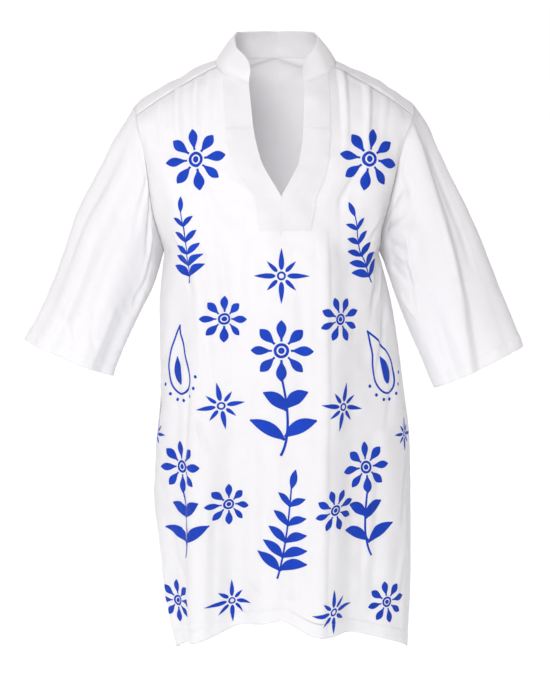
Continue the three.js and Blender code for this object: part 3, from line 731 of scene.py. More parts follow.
class Grids:
    """Grids of points that make one mesh, each with its points' places on the flat cloth."""

    def __init__(self):
        self.vertices, self.faces, self.uvs = [], [], []

    def add(self, grid, places, flip=False):
        start = sum(len(v) for v in self.vertices)
        self.faces += grid_faces(*grid.shape[:2], start, flip)
        self.vertices.append(grid.reshape(-1, 3))
        self.uvs.append(places.reshape(-1, 2))

    def make(self, name, thick=None, joined=True):
        parts = np.concatenate(self.vertices), self.faces, np.concatenate(self.uvs)
        return new_object(name, *(weld(*parts) if joined else parts), thick)


def allowance_under(name):
    """The back's allowance under the front along a shoulder seam, and its places on the cloth."""
    shoulder = front.columns >= BAND_COLUMNS + NECK_COLUMNS
    rows = len(front.ups) - 1 - np.arange(ALLOWANCE_ROWS)
    pick = np.ix_(rows, shoulder)
    inside = front.halves[name][pick] - front.normals[name][pick] * ALLOWANCE_INSIDE
    return inside, front.places(name)[pick]


def panel_object(panel, name, thick):
    cloth = Grids()
    for side_name, side in SIDES.items():
        flip = (side < 0) == panel.is_front
        cloth.add(panel.halves[side_name], panel.places(side_name), flip)
        if not panel.is_front:
            cloth.add(*allowance_under(side_name), not flip)
    return cloth.make(name, thick)


front_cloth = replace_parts(panel_object(front, "front_cloth", CLOTH), "front")
back_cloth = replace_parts(panel_object(back, "back_cloth", CLOTH), "back")


# ---- sleeves

def sleeve_heights(folds, around, along):
    height = np.zeros_like(around)
    for f in folds:
        run = np.clip((along - f["along0"]) / (f["along1"] - f["along0"]), 0, 1)
        off = around - (f["around0"] + (f["around1"] - f["around0"]) * run)
        share = np.minimum(np.abs(off) / np.where(off < 0, f["before"], f["after"]), 1)
        tail = 1 if f["along1"] > 1 else 1 - smooth(0.6, 1, run)
        bump = np.where(along < f["along0"], 0, (1 - share**2) ** 2)
        height += f["height"] * smooth(0, f["fade"], along - f["along0"]) * tail * bump
    return height


class Sleeve:
    """A sleeve's grid: rows from the armhole to the hem, columns round it from the underarm."""

    def __init__(self, name):
        front_base, front_edge = front.armhole(name)
        back_base, back_edge = back.armhole(name)
        loop = np.concatenate([front_base, back_base[::-1][1:]])
        run = lengths(loop)
        self.name, self.turn = name, 1 if name == "right" else -1
        self.hem, self.step = (SLEEVES[name][row]["along"] for row in (SLEEVE_HEM, SLEEVE_STEP))
        self.around = run / run[-1]
        self.along = self.row_places()
        base = self.rings(loop)
        degrees = np.broadcast_to(self.around * 360, base.shape[:2])
        along = np.broadcast_to(self.along[:, None], base.shape[:2])
        normals = grid_normals(base, closed=True) * self.turn
        self.grid = base + normals * self.heights(degrees, along)[..., None]
        self.grid[0] = np.concatenate([front_edge, back_edge[::-1][1:]])
        self.grid[:, -1] = self.grid[:, 0]
        self.normals = grid_normals(self.grid, closed=True) * self.turn
        self.places = np.stack([degrees * SLEEVE_GIRTH, -along * SLEEVE_LENGTH], axis=-1)

    def row_places(self):
        """Positions of the rows along the sleeve, with some just where the hem begins."""
        even = np.linspace(0, 1, SLEEVE_ROWS)
        exact = np.array([self.hem, (self.hem + self.step) / 2, self.step])
        even = even[np.abs(even[:, None] - exact).min(axis=1) > 0.004]
        return np.unique(np.concatenate([even, exact, [0.004]]))

    def rings(self, loop):
        """The sleeve without folds: rings that begin as the armhole's loop."""
        angle = 2 * math.pi * self.around
        rows = []
        for along in self.along:
            s = lookup(SLEEVES[self.name], "along", along)
            inner = np.array([s["innerX"], s["middle"], s["innerZ"]])
            outer = np.array([s["outerX"], s["middle"], s["outerZ"]])
            ring = (inner + outer) / 2 - np.cos(angle)[:, None] * (outer - inner) / 2
            ring[:, 1] -= s["depth"] * np.sin(angle)
            settle = 1 - max(1 - along / SLEEVE_SETTLE, 0) ** 2
            rows.append(loop + (ring - loop) * settle)
        return np.array(rows)

    def heights(self, degrees, along):
        """Folds, creases, unevenness, seams and hem, as heights over the rings."""
        seed = SEEDS[f"sleeve_{self.name}"]
        down = along * SLEEVE_LENGTH
        height = sleeve_heights(SLEEVE_FOLDS[self.name], degrees, along)
        height += sleeve_heights(SLEEVE_CREASES[self.name], degrees, along)
        angle = self.around * 2 * math.pi
        wavy = ripple(np.cos(angle) * SLEEVE_RADIUS + 0 * down, down, seed)
        wavy += ripple(np.sin(angle) * SLEEVE_RADIUS + 0 * down, down, seed + 1)
        height += wavy * SLEEVE_UNEVEN * smooth(0, 0.1, along)
        seam = np.minimum(degrees, 360 - degrees) * SLEEVE_SEAM_GIRTH
        height *= smooth(0, 16, seam)
        height += np.where(along < 0.1, seam_dip(down, degrees, seed + 2), 0)
        height += np.where(seam < 30, seam_dip(seam, down, seed + 3), 0) * smooth(0, 0.03, along)
        height += HEM_RELIEF * smooth(self.hem, self.step, along)
        hem_ripple = ripple(degrees, down * 0, seed + 4, 6, 7, 18)
        near_step = np.exp(-(((along - self.step) / SLEEVE_PUCKER_SPREAD) ** 2))
        return height + HEM_PUCKER * hem_ripple * near_step

    def make(self, name):
        cloth = Grids()
        cloth.add(self.grid, self.places, self.turn < 0)
        return cloth.make(name, CLOTH)


sleeves = {name: Sleeve(name) for name in SIDES}
sleeve_cloth = {
    name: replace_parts(sleeves[name].make(f"sleeve_{name}_cloth"), f"sleeve_{name}") for name in SIDES
}


# ---- collar

def collar_half(name):
    """Half the collar as columns of points up it, with their distances from its front end."""
    neck = front.columns <= BAND_COLUMNS + NECK_COLUMNS
    rear = back.base[name][between(back.ups, up_of(BACK, "nape")), 0]
    line = np.concatenate([front.base[name][-1, neck], rear[::-1][1:]])
    total = lengths(line)[-1]
    foot = np.unique(np.concatenate([np.linspace(0, total, COLLAR_STEPS), COLLAR_END_STEPS]))
    share = foot / total
    height = np.array([lookup(COLLAR, "around", s)["rise"] for s in share])
    levels = []
    for level in np.linspace(0, 1, COLLAR_LEVELS + 1) ** COLLAR_CROWDING:
        above = np.maximum(height * level - (height - COLLAR_CORNER), 0)
        inset = COLLAR_CORNER - np.sqrt(np.maximum(COLLAR_CORNER**2 - above**2, 0))
        pushed = share + inset / total * np.maximum(1 - share / COLLAR_END_SHARE, 0)
        at = along_line(line, pushed * total)
        found = [lookup(COLLAR, "around", s) for s in pushed]
        rise, lean = (np.array([f[key] for f in found]) for key in ("rise", "lean"))
        towards = (NECK_AXIS - at) * [1, 1, 0]
        towards /= np.linalg.norm(towards, axis=1, keepdims=True)
        at = at + towards * (lean * level - COLLAR_BELLY * math.sin(math.pi * level))[:, None]
        at[:, 2] += rise * level
        levels.append(at)
    return np.array(levels).transpose(1, 0, 2), foot


def collar_grid():
    """The collar from its right front end round to the left, and the places on its cloth."""
    (right, right_run), (left, left_run) = collar_half("right"), collar_half("left")
    grid = np.concatenate([right, left[::-1][1:]])
    run = np.concatenate([right_run, 2 * right_run[-1] - left_run[::-1][1:]])
    up = np.linspace(0, COLLAR_HEIGHT, COLLAR_LEVELS + 1)
    places = np.stack(np.broadcast_arrays(run[:, None], up), axis=-1)
    wave = ripple(places[..., 0], places[..., 1], SEEDS["collar"], 10, 30, 90)
    grid = grid + grid_normals(grid) * (wave * COLLAR_UNEVEN * smooth(0, 14, up))[..., None]
    return grid, places


collar_shape, collar_places = collar_grid()
collar = Grids()
collar.add(collar_shape, collar_places)
collar_cloth = collar.make("collar_cloth", COLLAR_CLOTH, joined=False)
round_edges(collar_cloth, COLLAR_ROUNDING, 3)
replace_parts(collar_cloth, "collar")


# ---- bands round the V opening

def band_object(name, side_names, low, high, node):
    band = Grids()
    pick = np.ix_(between(front.ups, low, high), front.columns <= BAND_COLUMNS + NEAR)
    for side_name in side_names:
        grid = front.halves[side_name][pick] + front.normals[side_name][pick] * ON_BAND
        band.add(grid, front.places(side_name)[pick], SIDES[side_name] < 0)
    made = band.make(name, BAND_CLOTH)
    round_edges(made, BAND_ROUNDING, 2)
    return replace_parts(made, node)


ON_BAND = BAND_LIFT + BAND_CLOTH
band_end, band_seam = up_of(FRONT, "bandEnd"), up_of(FRONT, "bandSeam")
bands = [
    band_object("band_right_cloth", ["right"], band_seam, 1, "band_right"),
    band_object("band_left_cloth", ["left"], band_seam, 1, "band_left"),
    band_object("band_front_cloth", ["right", "left"], band_end, band_seam, "band_front"),
]


# ---- the pocket bag

def pocket_object():
    z = front.base["right"][:, -1, 2]
    columns = (front.columns >= front.count - BAG_COLUMNS) & (front.columns <= front.count - 1)
    pick = np.ix_((z > BAG_BOTTOM) & (z < BAG_TOP), columns)
    inside = front.halves["right"][pick] - front.normals["right"][pick] * BAG_INSIDE
    bag = Grids()
    bag.add(inside, front.places("right")[pick], True)
    made = bag.make("pocket_cloth", POCKET_CLOTH, joined=False)
    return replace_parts(made, "pocket_right")


pocket_cloth = pocket_object()


# ---- stitches

STITCH_LENGTH = 2.4
STITCH_PITCH = 3.2
STITCH_RADIUS = 0.3
STITCH_SIDES = 5
STITCH_FLATNESS = 0.8
STITCH_RINGS = table("""
along radius rise
0     0.45   -0.1
0.2   1      0.15
0.8   1      0.15
1     0.45   -0.1
""")


class Stitches:
    """Rows of single stitches that lie on the cloth."""

    def __init__(self):
        self.vertices, self.faces = [], []

    def sew(self, line, normals, lift=0.1, pitch=STITCH_PITCH, length=STITCH_LENGTH):
        """Stitches along a line of points with the cloth's normals."""
        line, normals = np.asarray(line), np.asarray(normals)
        run = lengths(line)
        starts = np.arange(pitch * 0.3, run[-1] - length, pitch)
        first, last = sampled(line, run, starts), sampled(line, run, starts + length)
        out = sampled(normals, run, starts)
        out /= np.linalg.norm(out, axis=1, keepdims=True)
        side = np.cross(out, last - first)
        side /= np.linalg.norm(side, axis=1, keepdims=True)
        start = sum(len(v) for v in self.vertices)
        angles = np.arange(STITCH_SIDES) * 2 * math.pi / STITCH_SIDES
        rings = []
        for form in STITCH_RINGS:
            middle = first + (last - first) * form["along"] + out * (lift + form["rise"] * STITCH_RADIUS * 2)
            for angle in angles:
                arm = side * math.cos(angle) + out * math.sin(angle) * STITCH_FLATNESS
                rings.append(middle + arm * form["radius"] * STITCH_RADIUS)
        self.vertices.append(np.array(rings).transpose(1, 0, 2).reshape(-1, 3))
        per = len(STITCH_RINGS) * STITCH_SIDES
        for s in range(len(starts)):
            base = start + s * per
            for ring in range(len(STITCH_RINGS) - 1):
                for k in range(STITCH_SIDES):
                    a = base + ring * STITCH_SIDES + k
                    b = base + ring * STITCH_SIDES + (k + 1) % STITCH_SIDES
                    self.faces.append((a, b, b + STITCH_SIDES, a + STITCH_SIDES))
            self.faces.append(tuple(base + k for k in reversed(range(STITCH_SIDES))))
            self.faces.append(tuple(base + per - STITCH_SIDES + k for k in range(STITCH_SIDES)))

    def make(self, name):
        return new_object(name, np.concatenate(self.vertices), self.faces)


def line_down(panel, name, rows, measure, places):
    """Points and normals down a half panel, where a measure across it has the given value in each row."""
    found = [
        [sampled(grid[name][row], measure[row], place) for row, place in zip(rows, places)]
        for grid in (panel.halves, panel.normals)
    ]
    return np.array(found[0]), np.array(found[1])


def line_from_centre(panel, name, distances, low, high):
    """A line down a half panel, at a distance from its centre line or V edge in each row."""
    rows = np.flatnonzero(between(panel.ups, low, high))
    return line_down(panel, name, rows, np.abs(panel.across[name]), np.broadcast_to(distances, len(rows)))


def line_beside_edge(panel, name, inset, low, high):
    """A line beside a half panel's outer edge, between two heights."""
    z = panel.base[name][:, -1, 2]
    rows = np.flatnonzero((z > low) & (z < high))
    return line_down(panel, name, rows, -panel.left[name], np.full(len(rows), -inset))


def line_across(panel, up):
    """Points and normals right across a panel, along the row nearest to a position."""
    row = int(np.abs(panel.ups - up).argmin())
    right, left = panel.halves["right"][row], panel.halves["left"][row]
    line = np.concatenate([right[::-1], left[1:]])
    normals = np.concatenate([panel.normals["right"][row][::-1], panel.normals["left"][row][1:]])
    return line, normals


TOPSTITCH = 2.0
POCKET_STITCHING = (3.0, 9.0)  # insets of the two rows beside the pocket's mouth
TACK_INSETS = (1.0, 4.0, 7.0, 10.0)  # a bar tack runs over these insets
TACK_ROWS = 4
TACK_PITCH = 0.8
TACK_FILL = 0.9  # the share of the pitch that a tack's stitch takes
TACK_LIFT = 0.3
TACK_PAST = 4  # how far a tack is from the mouth's end
TACK_WINDOW = 5  # a tack lies at the mean of the rows this near to it
STITCHING_PAST = 6  # how far the two rows run past the mouth's ends
BAND_TOP_STITCH = 0.985  # topstitching ends here, just under the collar
SEAM_MARGIN = 0.003  # stitches end this far from the seam between the bands


def sew_sleeve_hem(sewing, name):
    sleeve = sleeves[name]
    row = int(np.abs(sleeve.along - sleeve.hem).argmin())
    sewing.sew(sleeve.grid[row], sleeve.normals[row])


def sew_band_edges(sewing, name):
    """Topstitching inside both edges of the bands on one side."""
    ups = front.ups[between(front.ups, band_end)]
    widths = np.abs(front.across[name][between(front.ups, band_end), BAND_COLUMNS * FINE])
    for low, high in ((band_end, band_seam - SEAM_MARGIN), (band_seam + SEAM_MARGIN, BAND_TOP_STITCH)):
        edges = widths[between(ups, low, high)] - TOPSTITCH
        sewing.sew(*line_from_centre(front, name, edges, low, high), ON_BAND)
        sewing.sew(*line_from_centre(front, name, TOPSTITCH, max(low, up_of(FRONT, "vee")), high), ON_BAND)


def sew_band_seam(sewing, name):
    """Topstitching above and below the seam between the upper band and the front band."""
    row = int(np.abs(front.ups - band_seam).argmin())
    columns = slice(0, BAND_COLUMNS * FINE + 1)
    for shift in (-TOPSTITCH, TOPSTITCH):
        line = front.halves[name][row, columns] + [0, 0, shift]
        sewing.sew(line, front.normals[name][row, columns], ON_BAND)


def sew_pocket(sewing):
    """Two rows beside the pocket's mouth and a bar tack at each of its ends."""
    for inset in POCKET_STITCHING:
        low, high = POCKET_BOTTOM - STITCHING_PAST, POCKET_TOP + STITCHING_PAST
        sewing.sew(*line_beside_edge(front, "right", inset, low, high))
    for end in (POCKET_BOTTOM - TACK_PAST, POCKET_TOP + TACK_PAST):
        low, high = end - TACK_WINDOW, end + TACK_WINDOW
        tack = [line_beside_edge(front, "right", inset, low, high) for inset in TACK_INSETS]
        points, normals = (np.array([t[k].mean(axis=0) for t in tack]) for k in (0, 1))
        for k in range(TACK_ROWS):
            line = points + [0, 0, TACK_PITCH * k]
            sewing.sew(line, normals, TACK_LIFT, TACK_PITCH, TACK_PITCH * TACK_FILL)


def sew_band_foot(sewing):
    """Topstitching along the foot of the front band."""
    row = int(np.abs(front.ups - band_end).argmin())
    line, normals = (
        np.concatenate([grid[n][row, : BAND_COLUMNS * FINE][:: -1 if n == "right" else 1] for n in SIDES])
        for grid in (front.halves, front.normals)
    )
    sewing.sew(line + [0, 0, TOPSTITCH], normals, ON_BAND)


def sew_collar(sewing):
    normals = grid_normals(collar_shape)
    for level in (1, COLLAR_LEVELS - 1):
        sewing.sew(collar_shape[2:-2, level], normals[2:-2, level])


white = Stitches()
for panel in (front, back):
    white.sew(*line_across(panel, up_of(FRONT, "hemTop")))
for name in SIDES:
    sew_sleeve_hem(white, name)
    sew_band_edges(white, name)
    sew_band_seam(white, name)
sew_pocket(white)
sew_band_foot(white)
sew_collar(white)
stitches = white.make("stitches")


# ---- embroidery: a generic design of daisies, sprigs, stars and paisleys

MAP_LOW = np.array([-262.0, -946.0])  # the map's lowest place across and down the cloth
MAP_SIZE = np.array([350, 606])
MAP_STEP = 1.5


class ClothMap:
    """Points of a panel by their place across and down the cloth, V gap included."""

    def __init__(self, panel):
        a, z = (low + MAP_STEP * np.arange(count) for low, count in zip(MAP_LOW, MAP_SIZE))
        vee = lookup(FRONT, "up", up_of(FRONT, "vee"))
        rows = []
        for r, up in enumerate(panel.ups):
            across, values = [], []
            for name, side in SIDES.items():
                key = "inX" + name.capitalize()
                gap = lookup(FRONT, "up", up)[key] - vee[key] if up > vee["up"] else 0
                data = np.concatenate(
                    [panel.halves[name][r], panel.normals[name][r], panel.base[name][r][:, 2:]], axis=1
                )
                step_in = slice(None, None, -1) if side < 0 else slice(1, None)
                across.append((panel.across[name][r] + gap)[step_in])
                values.append(data[step_in])
            across, values = np.concatenate(across), np.concatenate(values)
            rows.append(sampled(values, across, a))
        rows = np.array(rows)
        self.table = np.array([sampled(line[:, :6], line[:, 6], z) for line in rows.transpose(1, 0, 2)])

    def at(self, flat):
        """Points and normals at places (across, z)."""
        place = np.clip((flat - MAP_LOW) / MAP_STEP, 0, MAP_SIZE - 1.001)
        i, j = place.astype(int)[..., 0], place.astype(int)[..., 1]
        s, t = (place - np.floor(place))[..., 0:1], (place - np.floor(place))[..., 1:2]
        near = self.table[i, j] * (1 - s) + self.table[i + 1, j] * s
        far = self.table[i, j + 1] * (1 - s) + self.table[i + 1, j + 1] * s
        found = near * (1 - t) + far * t
        return found[..., :3], found[..., 3:]


SATIN_SIDE = ((0.45, 0.5), (0.86, 0.3), (1.0, -0.25))  # place across half a band, and rise there
SATIN_MIDDLE = (0.0, 0.58)
SATIN_PROFILE = [(-x, rise) for x, rise in reversed(SATIN_SIDE)] + [SATIN_MIDDLE, *SATIN_SIDE]
SATIN_SLANT = 0.45
SATIN_FULL = 1.2  # from this half width on, a band has its full height
SATIN_THINNEST = 0.35  # the least share of the height, on the narrowest bands


class Satin(Grids):
    """Satin-stitched bands on the cloth, each a centre line with a width that varies along it."""

    def __init__(self, cloth):
        super().__init__()
        self.cloth = cloth

    def band(self, line, half_width):
        line = np.asarray(line, float)
        tangent = np.gradient(line, axis=0)
        if np.allclose(line[0], line[-1]):
            tangent[0] = tangent[-1] = line[1] - line[-2]
        tangent /= np.linalg.norm(tangent, axis=1, keepdims=True)
        side = np.stack([-tangent[:, 1], tangent[:, 0]], axis=1)
        run = lengths(line)
        places, rises = np.array(SATIN_PROFILE).T
        flat = line[:, None] + side[:, None] * (places[None] * half_width[:, None])[..., None]
        points, normals = self.cloth.at(flat)
        thin = np.clip(half_width / SATIN_FULL, SATIN_THINNEST, 1)[:, None]
        points = points + normals * np.where(rises < 0, rises, rises * thin)[..., None]
        across = places[None] * half_width[:, None]
        slanted = run[:, None] + SATIN_SLANT * across
        self.add(points, np.stack([across, slanted], axis=-1), True)


def turned(points, angle):
    c, s = math.cos(math.radians(angle)), math.sin(math.radians(angle))
    return points @ np.array([[c, s], [-s, c]])


def leaf(length, half_width, bend=0.0, fullness=0.5, steps=16):
    """Centre line up from the origin and half widths. fullness is where the leaf is widest."""
    t = np.linspace(0, 1, steps)
    line = np.stack([bend * np.sin(math.pi * t), length * t], axis=1)
    warped = t ** (math.log(0.5) / math.log(fullness))
    return line, half_width * np.sin(math.pi * np.clip(warped, 0.05, 0.98)) ** 0.8


def ring(radius, half_width, steps=28):
    t = np.linspace(0, 2 * math.pi, steps)
    return np.stack([radius * np.cos(t), radius * np.sin(t)], axis=1), np.full(steps, half_width)


def placed(shape, x, y, angle=0):
    line, width = shape
    return turned(line, angle) + [x, y], width


def daisy(size, petals=8):
    """Petals round a ring, with a dot in the middle."""
    radius = size / 2
    shapes = [ring(radius * 0.2, radius * 0.05), ring(radius * 0.055, radius * 0.055, 12)]
    for k in range(petals):
        angle = 360 * k / petals
        wide = radius * (0.17 + 0.015 * math.sin(2.1 * k))
        line, width = leaf(radius * (0.68 + 0.03 * math.sin(3.3 * k)), wide, 0, 0.62)
        shapes.append((turned(line + [0, radius * 0.3], angle), width))
    return shapes


def stem(points, half_width, steps=40):
    """A smooth line through a few points."""
    points = np.asarray(points, float)
    t = np.linspace(0, 1, len(points))
    fit = np.polyfit(t, points, min(3, len(points) - 1))
    s = np.linspace(0, 1, steps)
    line = np.stack([np.polyval(fit[:, k], s) for k in range(2)], axis=1)
    return line, half_width * (0.75 + 0.25 * (1 - s))


FLOWER_STEM = ((0, 0), (0.05, 0.25), (0.02, 0.5), (0, 0.62))
FLOWER_LEAVES = table("""
x    y    turn long
0.03 0.12 62   0.3
0.03 0.14 -58  0.27
0.04 0.34 52   0.22
0.04 0.36 -50  0.2
""")


def flower(size):
    """A daisy on a bent stem with two pairs of leaves."""
    shapes = [stem(np.array(FLOWER_STEM) * size, size * 0.011)]
    for row in FLOWER_LEAVES:
        blade = leaf(size * row["long"], size * 0.052, math.copysign(size * 0.02, row["turn"]))
        shapes.append(placed(blade, size * row["x"], size * row["y"], row["turn"]))
    for line, width in daisy(size * 0.46):
        shapes.append((line + [0, size * 0.79], width))
    return shapes


def sprig(size, pairs=5, bend=0.12):
    """A bent stem with pairs of pointed leaves and one leaf at its tip."""
    line, width = stem([(0, 0), (size * bend * 0.6, size * 0.35), (size * bend, size * 0.85)], size * 0.01)
    shapes = [(line, width)]
    for k in range(pairs):
        share = 0.14 + 0.72 * k / (pairs - 1)
        x, y = line[int(share * (len(line) - 1))]
        long = size * (0.27 - 0.1 * k / (pairs - 1))
        for side in (1, -1):
            angle = side * (58 - 12 * k / (pairs - 1)) - 8
            shapes.append(placed(leaf(long, long * 0.19, side * long * 0.07), x, y, angle))
    x, y = line[-1]
    shapes.append(placed(leaf(size * 0.19, size * 0.035), x, y, -12))
    return shapes


def star(size):
    """Eight rays, long and short in turn, round a ring."""
    radius = size / 2
    shapes = [ring(radius * 0.13, radius * 0.04, 20)]
    for k in range(8):
        long = radius * (0.78 if k % 2 == 0 else 0.52)
        line, width = leaf(long, radius * (0.105 if k % 2 == 0 else 0.085), 0, 0.32)
        shapes.append((turned(line + [0, radius * 0.22], 45 * k), width))
    return shapes


def paisley(size):
    """A curled drop in outline, a filled drop inside it and dots that follow its back."""
    t = np.linspace(0, 2 * math.pi, 64)
    drop = np.stack([0.3 * np.sin(t) * np.sin(t / 2) ** 1.3, 0.5 * np.cos(t)], axis=1) * size
    drop[:, 0] += 0.16 * size * np.clip(drop[:, 1] / size + 0.1, 0, 1) ** 2 * 3
    outline = (drop, np.full(len(t), size * 0.017))
    inner_line, inner_width = leaf(size * 0.42, size * 0.085, size * -0.03, 0.4)
    shapes = [outline, (inner_line + [0, -size * 0.36], inner_width)]
    for k in range(7):
        arm = math.radians(200 + 140 * k / 6)
        x, y = 0.36 * size * math.cos(arm), -0.14 * size + 0.46 * size * math.sin(arm)
        dot_line, dot_width = ring(size * 0.014, size * 0.014, 10)
        shapes.append((dot_line + [x, y], dot_width))
    return shapes


MOTIF_SHAPES = {"daisy": daisy, "flower": flower, "sprig": sprig, "star": star, "paisley": paisley}
# Where the motifs are: across and z of each one's origin, its size, and its turn in degrees. A flower's and
# a sprig's origin is the foot of the stem, and a mirrored one is turned over from left to right.
MOTIFS = """
name    across z    size turn mirror
daisy   -134   -157 96   8    0
daisy   138    -157 96   -10  0
sprig   -150   -348 128  12   0
sprig   154    -348 128  -12  1
star    0      -335 84   0    0
daisy   -90    -402 72   0    0
daisy   92     -402 72   20   0
flower  0      -612 206  0    0
paisley -176   -470 106  14   0
paisley 178    -470 106  -14  1
star    -94    -537 74   10   0
star    96     -537 74   -10  0
star    -226   -590 54   0    0
star    228    -590 54   0    0
flower  -152   -778 180  5    0
flower  154    -778 180  -5   1
sprig   -4     -806 168  0    0
daisy   -84    -694 66   0    0
daisy   84     -694 66   15   0
star    -82    -852 68   0    0
star    84     -852 68   0    0
daisy   -186   -856 70   0    0
daisy   186    -856 70   12   0
"""


def embroider(motifs):
    satin = Satin(ClothMap(front))
    for m in table(motifs):
        for line, width in MOTIF_SHAPES[m["name"]](m["size"]):
            flat = turned(line, m["turn"])
            if m["mirror"]:
                flat = (flat * [-1, 1])[::-1]
                width = width[::-1]
            satin.band(flat + [m["across"], m["z"]], width)
    return satin.make("embroidery", joined=False)


embroidery = embroider(MOTIFS)


# ---- materials

def node_tree(name):
    material = bpy.data.materials.new(name)
    material.use_nodes = True
    tree = material.node_tree
    tree.nodes.clear()
    return material, tree


def add(tree, kind, inputs=None, **settings):
    """A node with its settings, its inputs being values or other nodes' outputs."""
    node = tree.nodes.new(kind)
    for key, value in settings.items():
        setattr(node, key, value)
    for key, value in (inputs or {}).items():
        if isinstance(value, bpy.types.NodeSocket):
            tree.links.new(value, node.inputs[key])
        else:
            node.inputs[key].default_value = value
    return node


def maths(tree, operation, *values):
    return add(tree, "ShaderNodeMath", dict(enumerate(values)), operation=operation).outputs[0]


def mixed(tree, factor, first, second):
    """A colour between two, by a factor from 0 to 1."""
    inputs = {"Factor": factor, "A": (*first, 1), "B": (*second, 1)}
    return add(tree, "ShaderNodeMix", inputs, data_type="RGBA").outputs["Result"]


def principled(tree, **inputs):
    """A body shader. An input's name has underscores for its spaces."""
    named = {key.replace("_", " "): value for key, value in inputs.items()}
    return add(tree, "ShaderNodeBsdfPrincipled", named).outputs[0]


def scaled_uv(tree, scale):
    uv = add(tree, "ShaderNodeUVMap", uv_map="cloth").outputs[0]
    return add(tree, "ShaderNodeMapping", {"Vector": uv, "Scale": scale}).outputs[0]


def noise(tree, scale, detail=2.0, size=1.0):
    """Noise over the cloth. scale is per metre, across and along it."""
    vector = scaled_uv(tree, (scale[0], scale[1], 1))
    inputs = {"Vector": vector, "Scale": size, "Detail": detail}
    return add(tree, "ShaderNodeTexNoise", inputs, noise_dimensions="2D").outputs[0]


def cotton(name, color, see_through, thread=0.00055):
    """Plain-woven cotton: threads both ways, slubs, a soft nap and light that passes through."""
    material, tree = node_tree(name)
    threads = scaled_uv(tree, (1 / thread, 1 / thread, 1))
    split = add(tree, "ShaderNodeSeparateXYZ", {0: threads})
    warp = maths(tree, "SINE", maths(tree, "MULTIPLY", split.outputs[0], math.pi))
    weft = maths(tree, "SINE", maths(tree, "MULTIPLY", split.outputs[1], math.pi))
    weave = maths(tree, "MULTIPLY", warp, weft)
    slub_down = noise(tree, (900, 22))
    slub_across = noise(tree, (22, 900))
    slub = maths(tree, "ADD", slub_down, slub_across)
    soft = noise(tree, (14, 9), 3.0)
    height = maths(tree, "ADD", maths(tree, "MULTIPLY", weave, 0.05), maths(tree, "MULTIPLY", slub, 0.16))
    bump = add(tree, "ShaderNodeBump", {"Height": height, "Strength": 0.5, "Distance": 0.0004})
    shade = maths(tree, "ADD", maths(tree, "MULTIPLY", slub, 0.5), maths(tree, "MULTIPLY", soft, 0.5))
    ramp = add(tree, "ShaderNodeMapRange", {"Value": shade, 1: 0.3, 2: 1.2, 3: 0.0, 4: 1.0})
    darker = tuple(c * 0.955 for c in color)
    tint = mixed(tree, ramp.outputs[0], darker, color)
    body = principled(
        tree,
        Base_Color=tint,
        Roughness=0.9,
        Specular_IOR_Level=0.2,
        Sheen_Weight=0.4,
        Sheen_Roughness=0.5,
        Normal=bump.outputs[0],
    )
    through = add(tree, "ShaderNodeBsdfTranslucent", {"Color": tint, "Normal": bump.outputs[0]})
    both = add(tree, "ShaderNodeMixShader", {0: see_through, 1: body, 2: through.outputs[0]})
    add(tree, "ShaderNodeOutputMaterial", {"Surface": both.outputs[0]})
    return material


cloth_material = cotton("white cotton", (0.92, 0.918, 0.928), 0.4)
# The collar's cotton is the white cotton made darker: painted shade over the whole collar.
collar_material = cotton("double white cotton with painted shade", (0.885, 0.883, 0.888), 0.3)
# The bands' cotton is the white cotton made a little darker.
band_material = cotton("band white cotton, a little darker", (0.903, 0.902, 0.91), 0.4)
for piece in (front_cloth, back_cloth, pocket_cloth, *sleeve_cloth.values()):
    piece.data.materials.append(cloth_material)
collar_cloth.data.materials.append(collar_material)
for piece in bands:
    piece.data.materials.append(band_material)


def thread(name, color, period):
    """Embroidery thread: fine strands side by side, a soft gloss and small changes of shade."""
    material, tree = node_tree(name)
    uv = add(tree, "ShaderNodeUVMap", uv_map="cloth").outputs[0]
    split = add(tree, "ShaderNodeSeparateXYZ", {0: uv})
    strand = maths(tree, "SINE", maths(tree, "MULTIPLY", split.outputs[1], 2 * math.pi / period))
    along = add(tree, "ShaderNodeMapping", {"Vector": uv, "Scale": (120, 1800, 1)}).outputs[0]
    uneven = add(
        tree, "ShaderNodeTexNoise", {"Vector": along, "Scale": 1.0, "Detail": 2.0}, noise_dimensions="2D"
    ).outputs[0]
    place = add(tree, "ShaderNodeTexCoord").outputs["Object"]
    broad = add(tree, "ShaderNodeTexNoise", {"Vector": place, "Scale": 22.0, "Detail": 2.0}).outputs[0]
    shade = maths(tree, "ADD", maths(tree, "MULTIPLY", uneven, 0.6), maths(tree, "MULTIPLY", broad, 0.4))
    spread_out = add(tree, "ShaderNodeMapRange", {"Value": shade, 1: 0.3, 2: 0.7, 3: 0.0, 4: 1.0})
    dark = tuple(c * 0.72 for c in color)
    light = tuple(min(1, c * 1.18) for c in color)
    tint = mixed(tree, spread_out.outputs[0], dark, light)
    height = maths(tree, "ADD", maths(tree, "MULTIPLY", strand, 0.5), uneven)
    bump = add(tree, "ShaderNodeBump", {"Height": height, "Strength": 0.6, "Distance": 0.0002})
    body = principled(
        tree,
        Base_Color=tint,
        Roughness=0.6,
        Specular_IOR_Level=0.2,
        Sheen_Weight=0.05,
        Sheen_Roughness=0.4,
        Normal=bump.outputs[0],
    )
    add(tree, "ShaderNodeOutputMaterial", {"Surface": body})
    return material


embroidery.data.materials.append(thread("blue thread", (0.0015, 0.042, 0.44), 0.0006))
stitches.data.materials.append(thread("white thread", (0.86, 0.865, 0.88), 0.0006))


# ---- floor, light and camera

FLOOR_Z = -1.45
FLOOR_HALF = 12.0
VIEW_TARGET = Vector((-0.0048, 0, -0.45))
VIEW_DISTANCE = 3.25
VIEW_RISE = math.radians(4.5)
VIEW_HEIGHT = 1.1  # height of the picture at the target, in metres
SENSOR = 36.0

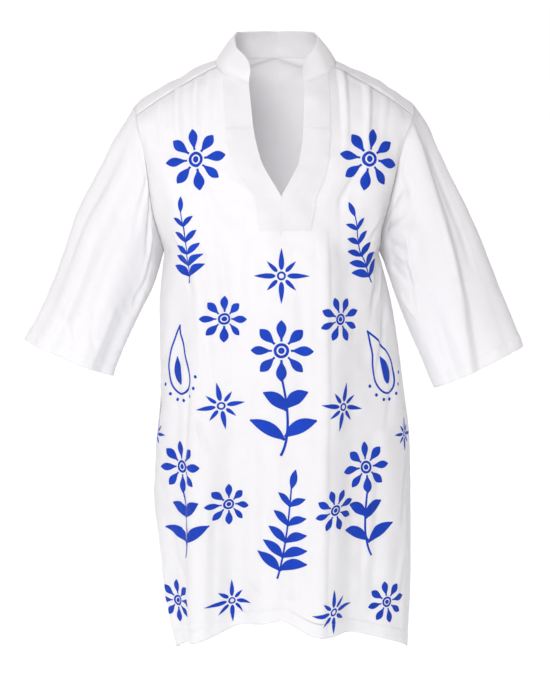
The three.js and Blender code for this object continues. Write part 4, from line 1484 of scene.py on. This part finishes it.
bpy.ops.mesh.primitive_plane_add(size=2 * FLOOR_HALF, location=(0, 0, FLOOR_Z))
floor = bpy.context.object
floor.name = "floor"
floor_material, floor_tree = node_tree("floor")
floor_body = principled(
    floor_tree,
    Base_Color=(0.93, 0.95, 0.94, 1),
    Roughness=0.9,
    Emission_Color=(0.97, 1, 0.99, 1),
    Emission_Strength=0.52,
)
add(floor_tree, "ShaderNodeOutputMaterial", {"Surface": floor_body})
floor.data.materials.append(floor_material)


def area_light(name, place, target, size, power, color=(1, 1, 1)):
    data = bpy.data.lights.new(name, "AREA")
    data.shape = "RECTANGLE"
    data.size, data.size_y = size
    data.energy = power
    data.color = color
    light = bpy.data.objects.new(name, data)
    light.location = place
    light.rotation_euler = (Vector(target) - Vector(place)).to_track_quat("-Z", "Y").to_euler()
    bpy.context.scene.collection.objects.link(light)


area_light("key", (-0.5, -2.1, 0.6), (0, 0, -0.35), (0.9, 1.0), 36, (1, 0.985, 0.995))

# A bright room that dims in front, overhead and towards both sides, most towards the wearer's left.
ROOM_LEVEL = 1.175
DIM_RIGHT, DIM_LEFT, DIM_OVERHEAD, DIM_AHEAD = 0.45, -0.72, -0.3, 0.54
world = bpy.data.worlds.new("studio")
world.use_nodes = True
sky = world.node_tree
way = add(sky, "ShaderNodeSeparateXYZ", {0: add(sky, "ShaderNodeTexCoord").outputs["Generated"]})
right_dim = maths(sky, "MULTIPLY", maths(sky, "MINIMUM", way.outputs[0], 0.0), DIM_RIGHT)
left_dim = maths(sky, "MULTIPLY", maths(sky, "MAXIMUM", way.outputs[0], 0.0), DIM_LEFT)
dimmer = maths(sky, "ADD", right_dim, left_dim)
overhead = maths(sky, "MULTIPLY", maths(sky, "MAXIMUM", way.outputs[2], 0.0), DIM_OVERHEAD)
ahead = maths(sky, "MULTIPLY", maths(sky, "MINIMUM", way.outputs[1], 0.0), DIM_AHEAD)
level = maths(sky, "ADD", maths(sky, "ADD", maths(sky, "ADD", dimmer, ROOM_LEVEL), overhead), ahead)
background = sky.nodes["Background"]
background.inputs["Color"].default_value = (1, 0.95, 0.972, 1)
sky.links.new(level, background.inputs["Strength"])
bpy.context.scene.world = world

camera_data = bpy.data.cameras.new("camera")
camera_data.sensor_width = SENSOR
camera_data.lens = SENSOR * VIEW_DISTANCE / VIEW_HEIGHT
camera = bpy.data.objects.new("camera", camera_data)
camera.location = VIEW_TARGET + VIEW_DISTANCE * Vector((0, -math.cos(VIEW_RISE), math.sin(VIEW_RISE)))
camera.rotation_euler = (VIEW_TARGET - camera.location).to_track_quat("-Z", "Y").to_euler()
bpy.context.scene.collection.objects.link(camera)
bpy.context.scene.camera = camera
bpy.context.scene.view_settings.view_transform = "Standard"
